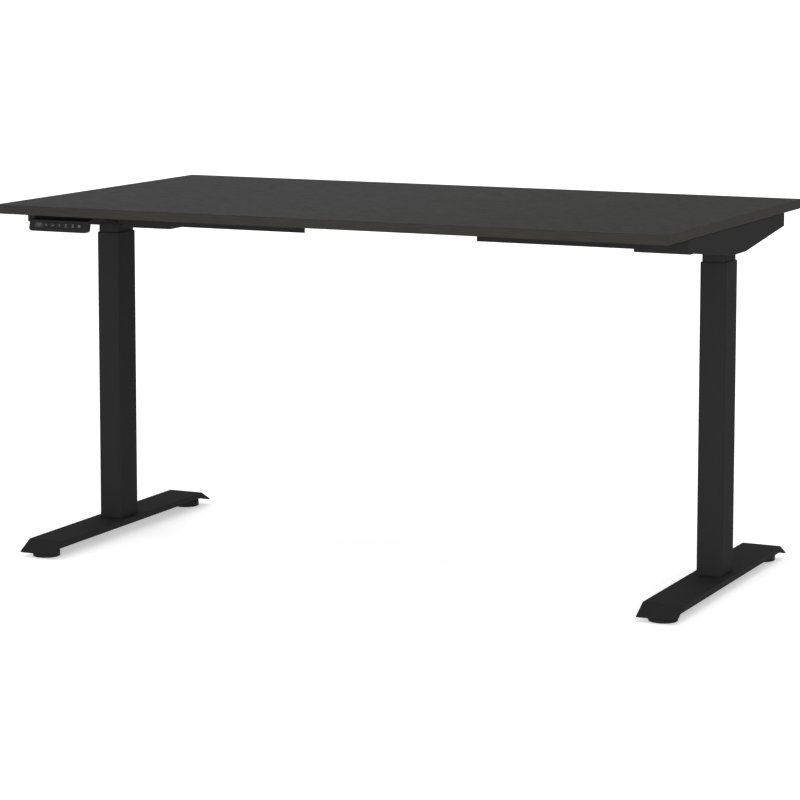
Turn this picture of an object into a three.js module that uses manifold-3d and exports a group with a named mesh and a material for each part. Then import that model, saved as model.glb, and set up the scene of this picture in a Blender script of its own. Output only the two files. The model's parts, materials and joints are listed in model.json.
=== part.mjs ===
// A height adjustable standing desk: a board on a steel frame with two telescoping electric legs.
// Millimetres, +Z up, +X along the desk's width, +Y towards its back, origin on the floor under its middle.
// The desk stands at its lowest height, with both legs drawn in and the levelling glides screwed home.

import * as THREE from 'three';
import { mergeVertices } from 'three/addons/utils/BufferGeometryUtils.js';
import Module from 'manifold-3d';

const wasm = await Module();
wasm.setup();

// ---- Clearances ----
const restGap = 0.3; // between pieces that touch or are fixed to each other
const runGap = 0.3; // all round a piece that slides in or on another
const boltGap = 0.3; // all round a bolt in its hole
const spindleGap = 0.5; // all round the spindle where it passes a hole

// ---- Desktop ----
const deskWidth = 1400;
const deskDepth = 800;
const deskThickness = 18;
const deskHeight = 720; // floor to the top face, legs drawn in
const edgeBandThickness = 2;
const sideInset = 0.5; // from the desk's end to the outer face of its arm

// ---- Feet ----
const footWidth = 80;
const footLength = 650;
const footHeight = 12; // of the folded channel
const footClearance = 19.5; // floor to the lower edge of the channel
const footWall = 3;
const noseLength = 35; // the sloping end of the foot
const noseDrop = 19;

// ---- Levelling glides ----
const glideInset = 35; // from the foot's end to the glide's axis
const glideRadius = 27.5;
const glidePadHeight = 11.5;
const glideShoulderRadius = 23;
const glideShoulderHeight = 15;
const glideHubRadius = 9;
const glideStudRadius = 4;
const glideBossWall = 5; // the nut welded into the foot, around the stud
const glideEdgeRound = 1.5;

// ---- Columns ----
const columnWidth = 52; // along X
const columnDepth = 72; // along Y
const columnWall = 1.5;
const columnCorner = 6;
const innerInset = 1.5; // all round, from the outer column's inner face to the inner column
const innerWall = 1.5;
const columnShow = 17; // how much of the inner column shows under the arm, legs drawn in
const liftTravel = 470;
const basePlateThickness = 8;
const innerStandoff = 12; // base plate to the inner column's lower end
const collarDepth = 50;
const collarLip = 1.5;
const collarLipInset = 0.6;
const shoeDepth = 50;
const footBoltRadius = 4;
const footBoltHeadRadius = 6.5;
const footBoltHeadHeight = 4.4;
const footBoltSpacing = 44; // along Y

// ---- Spindle drive ----
const spindleRadius = 7;
const spindleEngagement = 35; // left in the nut with the desk at its highest
const spindleTopInset = 4; // below the gearbox's upper wall
const nutFlangeRadius = 16;
const nutFlangeHeight = 6;
const nutBodyLength = 28;
const nutBelowHead = 34; // head plate to the nut's upper face
const pushTubeRadius = 13;
const pushTubeWall = 2;

// ---- Gearbox and motor ----
const headPlateThickness = 5;
const headPlateInset = 2; // above the arm's lower edge
const headPlateLength = 110;
const gearboxWall = 3;
const gearboxHeight = 40;
const gearboxMargin = 4; // from the wheel or worm to the inside of the gearbox
const wheelRadius = 14;
const wheelThickness = 10;
const wheelTeeth = 18;
const wheelToothDepth = 1.6;
const wormRadius = 6;
const wormThreadDepth = 1.6;
const wormTurns = 4;
const wormTurnLength = 6;
const wormShaftRadius = 3;
const wormShaftSeat = 10; // how far the shaft reaches into the motor
const motorRadius = 21;
const motorLength = 88;
const motorBossRadius = 7;
const motorFlangeGap = 3; // from the arm's flange to the motor's can
const motorCoverLength = 114;
const motorCoverWidth = 94;
const motorCoverDepth = 55; // board's underside to the cover's floor
const motorCoverWall = 2;

// ---- Arms and rails ----
const armWidth = 80;
const armLength = 560;
const armDepth = 53; // at the column, board's underside to its lower edge
const armEndDepth = 26;
const armFlatLength = 90; // of the level stretch over the column
const armWall = 3;
const railWidth = 128;
const railDepth = 47;
const railWall = 2.5;
const railSpan = 374; // between the two side rails
const railOverlap = 160; // of the centre rail in each side rail
const centreRailDepth = 33;
const cableSlotWidth = 30;
const cableSlotHeight = 16;
const cableSlotOffset = 410; // from the middle of the desk

// ---- Control box ----
const boxLength = 240;
const boxDepth = 86;
const boxHeight = 40;
const boxWall = 2;
const boxBehindRail = 20; // from the rail's rear face
const boardThickness = 1.6;
const boardGap = 5; // under the circuit board and round it
const inletWidth = 22;
const inletHeight = 16;
const inletLength = 18;
const inletLip = 2;
const inletWall = 2;
const inletFloor = 4;
const inletPinRadius = 1.2;
const inletPinLength = 9;
const inletPinSpacing = 8.6;

// ---- Handset ----
const handsetWidth = 131;
const handsetInset = 78; // from the desk's left end to the handset
const handsetHeight = 30.5;
const handsetDepth = 70;
const handsetSetback = 1; // of its lowest front edge behind the desk's front edge
const handsetNeckHeight = 8.5;
const handsetNeckSetback = 22;
const handsetFaceHeight = 18.5;
const handsetFaceRun = 4; // how far the sloping face comes forward from top to bottom
const handsetThickness = 13; // from its face to its back
const handsetFlangeHeight = 13.5; // of the part that reaches back under the board
const handsetWall = 2.4;
const handsetCornerRadius = 6; // of its two lower corners
const keyWidth = 11;
const keyHeight = 9;
const keyPitch = 15;
const keyRise = 0.8; // above the handset's face
const keyLength = 4.6;
const keyTravel = 1.2;
const keyMargin = 17.5; // from the handset's right end to the last key's middle
const keyNames = ['key_up', 'key_down', 'key_memory_1', 'key_memory_2', 'key_memory_3', 'key_store'];

// ---- Cables ----
const cableRadius = 2.5;
const cableArcSegments = 4; // half the sides of a cable's section
const cableStep = 12; // along the cable
const cableDrop = 8.5; // board's underside to a clipped cable's axis
const cableTail = 8; // that a cable reaches into a housing
const cableSpread = 9; // each of two cables to the middle of the slot they share

// ---- Places worked out from the sizes above ----
const undersideZ = deskHeight - deskThickness;
const frameTopZ = undersideZ - restGap;
const legX = deskWidth / 2 - sideInset - footWidth / 2;
const footTopZ = footClearance + footHeight;
const armBottomZ = undersideZ - armDepth;
const outerTopZ = armBottomZ - columnShow;
const basePlateZ = footTopZ + restGap;
const basePlateTopZ = basePlateZ + basePlateThickness;
const headPlateZ = armBottomZ + headPlateInset;
const gearboxZ = headPlateZ + headPlateThickness + restGap;
const motorZ = gearboxZ + gearboxHeight / 2;
const innerWidth = columnWidth - 2 * columnWall - 2 * innerInset;
const innerDepth = columnDepth - 2 * columnWall - 2 * innerInset;
const innerCorner = columnCorner - columnWall - innerInset / 2;
const innerBottomZ = basePlateTopZ + innerStandoff;
const nutTopZ = headPlateZ - nutBelowHead;
const nutFlangeZ = nutTopZ - nutFlangeHeight;
const nutBottomZ = nutFlangeZ - nutBodyLength;
const wormY = wheelRadius + wormRadius + runGap;
const wormHalf = (wormTurns * wormTurnLength) / 2;
const armFaceX = armWidth / 2; // seen from the leg's axis
const railStartX = armFaceX + restGap;
const railEndX = legX - railSpan / 2;
const coverEndX = railStartX + restGap + motorCoverLength;
const boxFrontY = railWidth / 2 + boxBehindRail;
const boxBottomZ = frameTopZ - boxHeight;
const cableZ = undersideZ - cableDrop;
const motorCableBoxY = boxFrontY + boxDepth * 0.75;
const handsetCableBoxY = boxFrontY + boxDepth * 0.25;

// ---- Materials ----
function finish(color, roughness, metalness) {
  return new THREE.MeshStandardMaterial({ color, roughness, metalness });
}
const powderCoat = finish('#2b2b2c', 0.55, 0.1);
const laminate = finish('#4a4a49', 0.6, 0);
const edging = finish('#3c3a36', 0.55, 0);
const blackPlastic = finish('#1c1c1d', 0.5, 0);
const greyPlastic = finish('#3a3a3c', 0.5, 0);
const keyPlastic = finish('#d8d8d4', 0.45, 0);
const zinc = finish('#8f9295', 0.35, 0.9);
const steel = finish('#a2a5a8', 0.3, 1);
const brass = finish('#b08d4a', 0.35, 1);
const castAlloy = finish('#7c7f82', 0.5, 0.8);
const boardGreen = finish('#1f4a2e', 0.5, 0);
const nylon = finish('#e4e2da', 0.6, 0);

// ---- Solids and cuts ----
function toSolid(geometry) {
  const bare = geometry.clone();
  bare.deleteAttribute('normal');
  bare.deleteAttribute('uv');
  const merged = mergeVertices(bare, 1e-4);
  return new wasm.Manifold(
    new wasm.Mesh({
      numProp: 3,
      vertProperties: new Float32Array(merged.attributes.position.array),
      triVerts: new Uint32Array(merged.index.array),
    }),
  );
}

function toGeometry(solid) {
  const mesh = solid.getMesh();
  const geometry = new THREE.BufferGeometry();
  geometry.setAttribute('position', new THREE.BufferAttribute(mesh.vertProperties, 3));
  geometry.setIndex(new THREE.BufferAttribute(mesh.triVerts, 1));
  return geometry;
}

function cut(geometry, ...tools) {
  const solid = tools.reduce((left, tool) => left.subtract(toSolid(tool)), toSolid(geometry));
  return toGeometry(solid);
}

function overlap(geometry, other) {
  return toGeometry(toSolid(geometry).intersect(toSolid(other)));
}

function join(geometry, ...others) {
  const solid = others.reduce((whole, other) => whole.add(toSolid(other)), toSolid(geometry));
  return toGeometry(solid);
}

// ---- Shapes ----
function box(x0, x1, y0, y1, z0, z1) {
  const geometry = new THREE.BoxGeometry(x1 - x0, y1 - y0, z1 - z0);
  return geometry.translate((x0 + x1) / 2, (y0 + y1) / 2, (z0 + z1) / 2);
}

function rounded(width, depth, radius) {
  const x = width / 2 - radius;
  const y = depth / 2 - radius;
  const outline = new THREE.Shape();
  outline.absarc(x, y, radius, 0, Math.PI / 2);
  outline.absarc(-x, y, radius, Math.PI / 2, Math.PI);
  outline.absarc(-x, -y, radius, Math.PI, 1.5 * Math.PI);
  outline.absarc(x, -y, radius, 1.5 * Math.PI, 2 * Math.PI);
  return outline;
}

function prism(outline, z0, z1, curveSegments = 2) {
  const options = { depth: z1 - z0, bevelEnabled: false, curveSegments };
  return new THREE.ExtrudeGeometry(outline, options).translate(0, 0, z0);
}

// An outline drawn in Y and Z, drawn out along X.
function sideProfile(points, x0, x1) {
  const outline = new THREE.Shape(points.map(([y, z]) => new THREE.Vector2(y, z)));
  const turn = new THREE.Matrix4().makeBasis(
    new THREE.Vector3(0, 1, 0),
    new THREE.Vector3(0, 0, 1),
    new THREE.Vector3(1, 0, 0),
  );
  return prism(outline, x0, x1).applyMatrix4(turn);
}

function roundTube(width, depth, radius, wall, z0, z1) {
  const outline = rounded(width, depth, radius);
  outline.holes.push(rounded(width - 2 * wall, depth - 2 * wall, Math.max(radius - wall, 0.5)));
  return prism(outline, z0, z1);
}

function channelProfile(width, wall, z0, z1) {
  const outer = width / 2;
  const inner = outer - wall;
  return [
    [-outer, z0], [-outer, z1], [outer, z1], [outer, z0],
    [inner, z0], [inner, z1 - wall], [-inner, z1 - wall], [-inner, z0],
  ];
}

// A turned piece about the Z axis through (x, y), from [radius, height] pairs that start and end on the axis.
function turned(pairs, x, y, segments = 24) {
  const profile = pairs.map(([radius, height]) => new THREE.Vector2(radius, height));
  return new THREE.LatheGeometry(profile, segments).rotateX(Math.PI / 2).translate(x, y, 0);
}

function cylinder(radius, z0, z1, x = 0, y = 0, segments = 16) {
  return turned([[0, z0], [radius, z0], [radius, z1], [0, z1]], x, y, segments);
}

// A turned piece about the line through (y, z) along X.
function turnedAlongX(pairs, y, z, segments = 16) {
  return turned(pairs, 0, 0, segments).rotateY(Math.PI / 2).translate(0, y, z);
}

function cylinderAlongX(radius, x0, x1, y, z, segments = 12) {
  return turnedAlongX([[0, x0], [radius, x0], [radius, x1], [0, x1]], y, z, segments);
}

function ring(outerRadius, innerRadius, z0, z1) {
  return turned([
    [innerRadius, z0], [outerRadius, z0], [outerRadius, z1], [innerRadius, z1], [innerRadius, z0],
  ], 0, 0);
}

function cable(points) {
  const route = new THREE.CatmullRomCurve3(points, false, 'centripetal');
  const section = new THREE.Shape();
  section.absarc(0, 0, cableRadius, 0, 2 * Math.PI);
  const steps = Math.round(route.getLength() / cableStep);
  return new THREE.ExtrudeGeometry(section, {
    steps, extrudePath: route, curveSegments: cableArcSegments, bevelEnabled: false,
  });
}

function piece(name, geometry, material) {
  const mesh = new THREE.Mesh(geometry, material.clone());
  mesh.name = name;
  return mesh;
}

// ---- The standing part of a leg ----
const glideYs = [-(footLength / 2 - glideInset), footLength / 2 - glideInset];
const boltYs = [-footBoltSpacing / 2, footBoltSpacing / 2];

function footSolid() {
  const end = footLength / 2;
  const shoulder = end - noseLength;
  const slope = noseDrop / noseLength;
  const webZ = footTopZ - footWall;
  const wallEndY = shoulder + (webZ - footClearance) / slope;
  const past = end + footWall;
  const pastZ = webZ - slope * (past - shoulder);
  const outer = sideProfile([
    [-end, footTopZ - noseDrop], [-shoulder, footTopZ], [shoulder, footTopZ], [end, footTopZ - noseDrop],
    [end, webZ - noseDrop], [wallEndY, footClearance], [-wallEndY, footClearance], [-end, webZ - noseDrop],
  ], -footWidth / 2, footWidth / 2);
  const hollow = sideProfile([
    [-past, pastZ], [-shoulder, webZ], [shoulder, webZ], [past, pastZ], [past, -footTopZ], [-past, -footTopZ],
  ], footWall - footWidth / 2, footWidth / 2 - footWall);
  const bossRadius = glideStudRadius + glideBossWall;
  const bosses = glideYs.map((y) => cylinder(bossRadius, footClearance, footTopZ, 0, y));
  const studHoles = glideYs.map((y) => cylinder(glideStudRadius + boltGap, 0, webZ, 0, y));
  const boltHoles = boltYs.map((y) => cylinder(footBoltRadius + boltGap, 0, footTopZ + footWall, 0, y));
  return cut(outer, cut(hollow, ...bosses), ...studHoles, ...boltHoles);
}

function basePlate() {
  const inner = 2 * (columnWall + restGap);
  const outline = rounded(columnWidth - inner, columnDepth - inner, columnCorner - columnWall);
  const holes = boltYs.map((y) => cylinder(footBoltRadius + boltGap, 0, basePlateTopZ + 1, 0, y));
  return cut(prism(outline, basePlateZ, basePlateTopZ), ...holes);
}

function footBolt(y) {
  const headZ = footTopZ - footWall - restGap;
  return turned([
    [0, headZ - footBoltHeadHeight], [footBoltHeadRadius, headZ - footBoltHeadHeight],
    [footBoltHeadRadius, headZ], [footBoltRadius, headZ], [footBoltRadius, basePlateTopZ - restGap],
    [0, basePlateTopZ - restGap],
  ], 0, y, 12);
}

function glide(y) {
  return turned([
    [0, 0], [glideRadius - glideEdgeRound, 0], [glideRadius, glideEdgeRound], [glideRadius, glidePadHeight],
    [glideShoulderRadius, glideShoulderHeight], [glideHubRadius, glideShoulderHeight],
    [glideHubRadius, footClearance - restGap], [glideStudRadius, footClearance - restGap],
    [glideStudRadius, footTopZ - footWall - restGap], [0, footTopZ - footWall - restGap],
  ], 0, y);
}

function guideCollar() {
  const body = roundTube(
    columnWidth - 2 * (columnWall + restGap), columnDepth - 2 * (columnWall + restGap),
    columnCorner - columnWall, innerInset - restGap - runGap, outerTopZ - collarDepth, outerTopZ + collarLip,
  );
  const lipWall = (columnWidth - innerWidth) / 2 - collarLipInset - runGap;
  const lip = roundTube(
    columnWidth - 2 * collarLipInset, columnDepth - 2 * collarLipInset, columnCorner - collarLipInset,
    lipWall, outerTopZ + restGap, outerTopZ + collarLip,
  );
  return join(body, lip);
}

function pushTube() {
  return ring(pushTubeRadius, pushTubeRadius - pushTubeWall, basePlateTopZ + restGap, nutFlangeZ - restGap);
}

function spindleNut() {
  const bore = spindleRadius + spindleGap;
  const body = pushTubeRadius - pushTubeWall - restGap;
  return turned([
    [bore, nutBottomZ], [body, nutBottomZ], [body, nutFlangeZ], [nutFlangeRadius, nutFlangeZ],
    [nutFlangeRadius, nutTopZ], [bore, nutTopZ], [bore, nutBottomZ],
  ], 0, 0);
}

// ---- The rising part of a leg: +X points to the middle of the desk ----
function innerColumn() {
  return roundTube(innerWidth, innerDepth, innerCorner, innerWall, innerBottomZ, headPlateZ - restGap);
}

function guideShoe() {
  const wall = innerInset - restGap - runGap;
  return roundTube(
    innerWidth + 2 * (restGap + wall), innerDepth + 2 * (restGap + wall), innerCorner + wall,
    wall, innerBottomZ, innerBottomZ + shoeDepth,
  );
}

function headPlate() {
  const half = armWidth / 2 - armWall - restGap;
  const plate = box(-half, half, -headPlateLength / 2, headPlateLength / 2, headPlateZ, headPlateZ + headPlateThickness);
  return cut(plate, cylinder(spindleRadius + spindleGap, headPlateZ - 1, gearboxZ + 1));
}

const gearboxInnerX = Math.max(wheelRadius, wormHalf) + gearboxMargin;
const gearboxFaceX = gearboxInnerX + gearboxWall;
const gearboxFrontY = -(wheelRadius + gearboxMargin);
const gearboxBackY = wormY + wormRadius + gearboxMargin;

function gearbox() {
  const wall = gearboxWall;
  const top = gearboxZ + gearboxHeight;
  const shell = box(
    -gearboxFaceX, gearboxFaceX, gearboxFrontY - wall, gearboxBackY + wall, gearboxZ, top,
  );
  const hollow = box(
    -gearboxInnerX, gearboxInnerX, gearboxFrontY, gearboxBackY, gearboxZ + wall, top - wall,
  );
  const spindleHole = cylinder(spindleRadius + spindleGap, gearboxZ - 1, motorZ);
  const shaftHole = cylinderAlongX(wormShaftRadius + spindleGap, 0, gearboxFaceX + 1, wormY, motorZ);
  return cut(shell, hollow, spindleHole, shaftHole);
}

function spindle() {
  const top = gearboxZ + gearboxHeight - gearboxWall - spindleTopInset;
  return cylinder(spindleRadius, nutBottomZ - liftTravel - spindleEngagement, top, 0, 0, 24);
}

function wormWheel() {
  const outline = new THREE.Shape();
  for (let tooth = 0; tooth < wheelTeeth; tooth += 1) {
    const corners = [[0, 1], [0.3, 1], [0.5, 0], [0.8, 0]];
    for (const [share, tip] of corners) {
      const angle = ((tooth + share) / wheelTeeth) * 2 * Math.PI;
      const radius = wheelRadius - (1 - tip) * wheelToothDepth;
      const point = [radius * Math.cos(angle), radius * Math.sin(angle)];
      if (tooth === 0 && share === 0) outline.moveTo(...point);
      else outline.lineTo(...point);
    }
  }
  const bore = new THREE.Path();
  bore.absarc(0, 0, spindleRadius + restGap, 0, 2 * Math.PI);
  outline.holes.push(bore);
  return prism(outline, motorZ - wheelThickness / 2, motorZ + wheelThickness / 2, 8);
}

function wormShaft() {
  const pairs = [[0, -gearboxInnerX + restGap], [wormShaftRadius, -gearboxInnerX + restGap]];
  pairs.push([wormShaftRadius, -wormHalf]);
  for (let turn = 0; turn < wormTurns; turn += 1) {
    const start = -wormHalf + turn * wormTurnLength;
    pairs.push([wormRadius - wormThreadDepth, start], [wormRadius, start + wormTurnLength * 0.35]);
    pairs.push([wormRadius, start + wormTurnLength * 0.65]);
  }
  pairs.push([wormRadius - wormThreadDepth, wormHalf], [wormShaftRadius, wormHalf]);
  const end = gearboxFaceX + restGap + wormShaftSeat;
  pairs.push([wormShaftRadius, end], [0, end]);
  return turnedAlongX(pairs, wormY, motorZ, 12);
}

function motor() {
  const bossX = gearboxFaceX + restGap;
  const canX = armFaceX + motorFlangeGap;
  const bore = wormShaftRadius + spindleGap;
  const boreEnd = bossX + wormShaftSeat + runGap;
  return turnedAlongX([
    [0, boreEnd], [bore, boreEnd], [bore, bossX], [motorBossRadius, bossX], [motorBossRadius, canX],
    [motorRadius, canX], [motorRadius, canX + motorLength], [0, canX + motorLength],
  ], wormY, motorZ, 24);
}

const motorEndX = armFaceX + motorFlangeGap + motorLength;

function motorCover() {
  const half = motorCoverWidth / 2;
  const start = railStartX + restGap;
  const floor = undersideZ - motorCoverDepth;
  const top = frameTopZ - railWall - restGap;
  const wall = motorCoverWall;
  const shell = box(start, coverEndX, -half, half, floor, top);
  const hollow = box(start - 1, coverEndX - wall, wall - half, half - wall, floor + wall, top + 1);
  const cableHole = cylinderAlongX(cableRadius + boltGap, coverEndX - 2 * wall, coverEndX + 1, wormY, motorZ);
  return cut(shell, hollow, cableHole);
}

function sideArm() {
  const end = armLength / 2;
  const flat = armFlatLength / 2;
  const endZ = undersideZ - armEndDepth;
  const shell = sideProfile([
    [-end, frameTopZ], [end, frameTopZ], [end, endZ], [flat, armBottomZ], [-flat, armBottomZ], [-end, endZ],
  ], -armFaceX, armFaceX);
  const web = frameTopZ - armWall;
  const hollow = box(
    armWall - armFaceX, armFaceX - armWall, armWall - end, end - armWall, armBottomZ - 1, web,
  );
  const shaftHole = cylinderAlongX(
    motorBossRadius + 2 * boltGap, armFaceX - 2 * armWall, armFaceX + 1, wormY, motorZ,
  );
  return cut(shell, hollow, shaftHole);
}

function sideRail() {
  const profile = channelProfile(railWidth, railWall, undersideZ - railDepth, frameTopZ);
  const slotX = legX - cableSlotOffset;
  const slotTop = frameTopZ - railWall;
  const slot = box(
    slotX - cableSlotWidth / 2, slotX + cableSlotWidth / 2, -railWidth, railWidth,
    slotTop - cableSlotHeight, slotTop,
  );
  return cut(sideProfile(profile, railStartX, railEndX), slot);
}

function leg(name, sign) {
  const group = new THREE.Group();
  const add = (suffix, geometry, material) => group.add(piece(`${name}_${suffix}`, geometry, material));
  add('foot', footSolid(), powderCoat);
  add('foot_plate', basePlate(), zinc);
  add('foot_bolt_front', footBolt(sign * boltYs[0]), zinc);
  add('foot_bolt_rear', footBolt(sign * boltYs[1]), zinc);
  add('glide_front', glide(sign * glideYs[0]), blackPlastic);
  add('glide_rear', glide(sign * glideYs[1]), blackPlastic);
  add('outer_column', roundTube(columnWidth, columnDepth, columnCorner, columnWall, basePlateZ, outerTopZ), powderCoat);
  add('guide_collar', guideCollar(), blackPlastic);
  add('push_tube', pushTube(), steel);
  add('spindle_nut', spindleNut(), brass);
  add('inner_column', innerColumn(), powderCoat);
  add('guide_shoe', guideShoe(), nylon);
  add('head_plate', headPlate(), powderCoat);
  add('gearbox', gearbox(), castAlloy);
  add('spindle', spindle(), steel);
  add('worm_wheel', wormWheel(), brass);
  add('worm_shaft', wormShaft(), steel);
  add('motor', motor(), zinc);
  add('motor_cover', motorCover(), blackPlastic);
  add('side_arm', sideArm(), powderCoat);
  add('side_rail', sideRail(), powderCoat);
  group.position.x = -sign * legX;
  group.rotation.z = sign > 0 ? 0 : Math.PI;
  return group;
}

// ---- Desktop and centre rail ----
function desktop() {
  const inset = edgeBandThickness + restGap;
  return box(
    inset - deskWidth / 2, deskWidth / 2 - inset, inset - deskDepth / 2, deskDepth / 2 - inset,
    undersideZ, deskHeight,
  );
}

function edgeBand() {
  const x = deskWidth / 2;
  const y = deskDepth / 2;
  const band = edgeBandThickness;
  const outer = box(-x, x, -y, y, undersideZ, deskHeight);
  return cut(outer, box(band - x, x - band, band - y, y - band, undersideZ - 1, deskHeight + 1));
}

function centreRail() {
  const half = railSpan / 2 + railOverlap;
  const width = railWidth - 2 * (railWall + runGap);
  const top = frameTopZ - railWall - runGap;
  return sideProfile(channelProfile(width, railWall, top - centreRailDepth, top), -half, half);
}

// ---- Control box ----
const lidZ = frameTopZ - boxWall;
const inletY = boxFrontY + boxDepth / 2;
const inletZ = boxBottomZ + boxHeight / 2;
const boxEndX = boxLength / 2;

function cableHoleInBox(sign, y) {
  return cylinderAlongX(
    cableRadius + boltGap, sign * boxEndX - 3 * boxWall, sign * boxEndX + 3 * boxWall, y, cableZ,
  );
}

function controlBoxCase() {
  const wall = boxWall;
  const shell = box(-boxEndX, boxEndX, boxFrontY, boxFrontY + boxDepth, boxBottomZ, lidZ - restGap);
  const hollow = box(
    wall - boxEndX, boxEndX - wall, boxFrontY + wall, boxFrontY + boxDepth - wall, boxBottomZ + wall, lidZ + 1,
  );
  const inletHole = box(
    boxEndX - 2 * wall, boxEndX + wall, inletY - inletWidth / 2 - restGap, inletY + inletWidth / 2 + restGap,
    inletZ - inletHeight / 2 - restGap, inletZ + inletHeight / 2 + restGap,
  );
  return cut(
    shell, hollow, inletHole, cableHoleInBox(-1, motorCableBoxY), cableHoleInBox(-1, handsetCableBoxY),
    cableHoleInBox(1, motorCableBoxY),
  );
}

function controlBoxLid() {
  return box(-boxEndX, boxEndX, boxFrontY, boxFrontY + boxDepth, lidZ, frameTopZ);
}

function controlBoard() {
  const gap = boxWall + boardGap;
  const z = boxBottomZ + gap;
  return box(
    gap - boxEndX, boxEndX - boxWall - inletLength - boardGap, boxFrontY + gap, boxFrontY + boxDepth - gap,
    z, z + boardThickness,
  );
}

function mainsInlet() {
  const face = boxEndX + inletLip;
  const back = boxEndX - inletLength;
  const halfY = inletWidth / 2;
  const halfZ = inletHeight / 2;
  const body = box(back, face, inletY - halfY, inletY + halfY, inletZ - halfZ, inletZ + halfZ);
  const lip = box(
    boxEndX + restGap, face, inletY - halfY - inletLip, inletY + halfY + inletLip,
    inletZ - halfZ - inletLip, inletZ + halfZ + inletLip,
  );
  const recess = box(
    back + inletFloor, face + 1, inletY - halfY + inletWall, inletY + halfY - inletWall,
    inletZ - halfZ + inletWall, inletZ + halfZ - inletWall,
  );
  const pins = [-1, 1].map((side) => cylinderAlongX(
    inletPinRadius, back + inletFloor / 2, back + inletFloor + inletPinLength,
    inletY + (side * inletPinSpacing) / 2, inletZ, 8,
  ));
  return join(cut(join(body, lip), recess), ...pins);
}

// ---- Handset ----
const handsetX = handsetInset - deskWidth / 2;
const handsetFrontY = handsetSetback - deskDepth / 2;
const handsetBackY = handsetFrontY + handsetDepth;
const faceTopZ = undersideZ - handsetNeckHeight;
const faceTopY = handsetFrontY + handsetFaceRun;
const faceBottomZ = faceTopZ - handsetFaceHeight;
const handsetBottomZ = undersideZ - handsetHeight;
const handsetCableX = handsetX + handsetWidth / 2;
const faceLength = Math.hypot(handsetFaceRun, handsetFaceHeight);
const faceUp = new THREE.Vector3(0, handsetFaceRun, handsetFaceHeight).normalize();
const faceOut = new THREE.Vector3(0, -handsetFaceHeight, handsetFaceRun).normalize();

// A box laid on the sloping face: centred at x, u along the face, from n0 to n1 out of it.
function onFace(x, width, height, n0, n1) {
  const middle = new THREE.Vector3(x, (handsetFrontY + faceTopY) / 2, (faceBottomZ + faceTopZ) / 2);
  middle.addScaledVector(faceOut, (n0 + n1) / 2);
  const place = new THREE.Matrix4().makeBasis(new THREE.Vector3(1, 0, 0), faceUp, faceOut);
  place.setPosition(middle);
  return new THREE.BoxGeometry(width, height, n1 - n0).applyMatrix4(place);
}

const keyXs = keyNames.map(
  (_, index) => handsetX + handsetWidth - keyMargin - (keyNames.length - 1 - index) * keyPitch,
);

function handsetCase() {
  const neckY = handsetFrontY + handsetNeckSetback;
  const flangeZ = undersideZ - handsetFlangeHeight;
  const backFromFace = (handsetThickness * faceLength) / handsetFaceHeight;
  const backY = (z) => handsetFrontY + backFromFace + ((z - faceBottomZ) * handsetFaceRun) / handsetFaceHeight;
  const profile = sideProfile([
    [handsetBackY, frameTopZ], [neckY, frameTopZ], [neckY, faceTopZ + 2], [faceTopY, faceTopZ],
    [handsetFrontY, faceBottomZ], [handsetFrontY + 1, handsetBottomZ], [backY(handsetBottomZ), handsetBottomZ],
    [backY(flangeZ), flangeZ], [handsetBackY, flangeZ],
  ], handsetX, handsetX + handsetWidth);
  const front = prism(
    rounded(handsetWidth, 2 * handsetHeight, handsetCornerRadius), -handsetBackY - 1, 1 - handsetFrontY, 4,
  ).rotateX(Math.PI / 2).translate(handsetX + handsetWidth / 2, 0, undersideZ);
  const hollowBack = keyLength + 2 * keyTravel + 2 * boardThickness;
  const hollow = onFace(
    handsetX + handsetWidth / 2, handsetWidth - 2 * handsetWall, faceLength - handsetWall,
    -hollowBack, -handsetWall,
  );
  const keyHoles = keyXs.map((x) => onFace(
    x, keyWidth + 2 * runGap, keyHeight + 2 * runGap, -2 * handsetWall, handsetWall,
  ));
  const cableHole = toGeometry(
    toSolid(cylinder(cableRadius + boltGap, 0, cableTail + 1))
  ).rotateX(Math.PI / 2).translate(handsetCableX, handsetBackY + 1, cableZ);
  return cut(overlap(profile, front), hollow, ...keyHoles, cableHole);
}

function handsetBoard() {
  const outer = -keyLength - 2 * keyTravel;
  return onFace(
    handsetX + handsetWidth / 2, handsetWidth - 2 * handsetWall - 2 * restGap,
    faceLength - handsetWall - 2 * restGap, outer - boardThickness, outer,
  );
}

function key(x) {
  return onFace(x, keyWidth, keyHeight, keyRise - keyLength, keyRise);
}

// ---- Cables, clipped up under the board ----
function motorCable(sign) {
  const x = (fromMiddle) => -sign * fromMiddle;
  const motorSideY = sign * wormY;
  const slotY = railWidth / 2;
  const point = (fromMiddle, y, z) => new THREE.Vector3(x(fromMiddle), y, z);
  return cable([
    point(legX - motorEndX - restGap, motorSideY, motorZ),
    point(legX - coverEndX + 4, motorSideY, motorZ),
    point(legX - coverEndX - 8, motorSideY, motorZ),
    point(legX - coverEndX - 34, motorSideY + 6, (motorZ + cableZ) / 2),
    point(cableSlotOffset + cableSpread + 8, slotY - 20, cableZ - 1),
    point(cableSlotOffset + cableSpread, slotY, cableZ - 1),
    point(cableSlotOffset + cableSpread - 14, slotY + 26, cableZ),
    point((cableSlotOffset + boxEndX) / 2, motorCableBoxY + 4, cableZ),
    point(boxEndX + 20, motorCableBoxY, cableZ),
    point(boxEndX - cableTail, motorCableBoxY, cableZ),
  ]);
}

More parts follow.
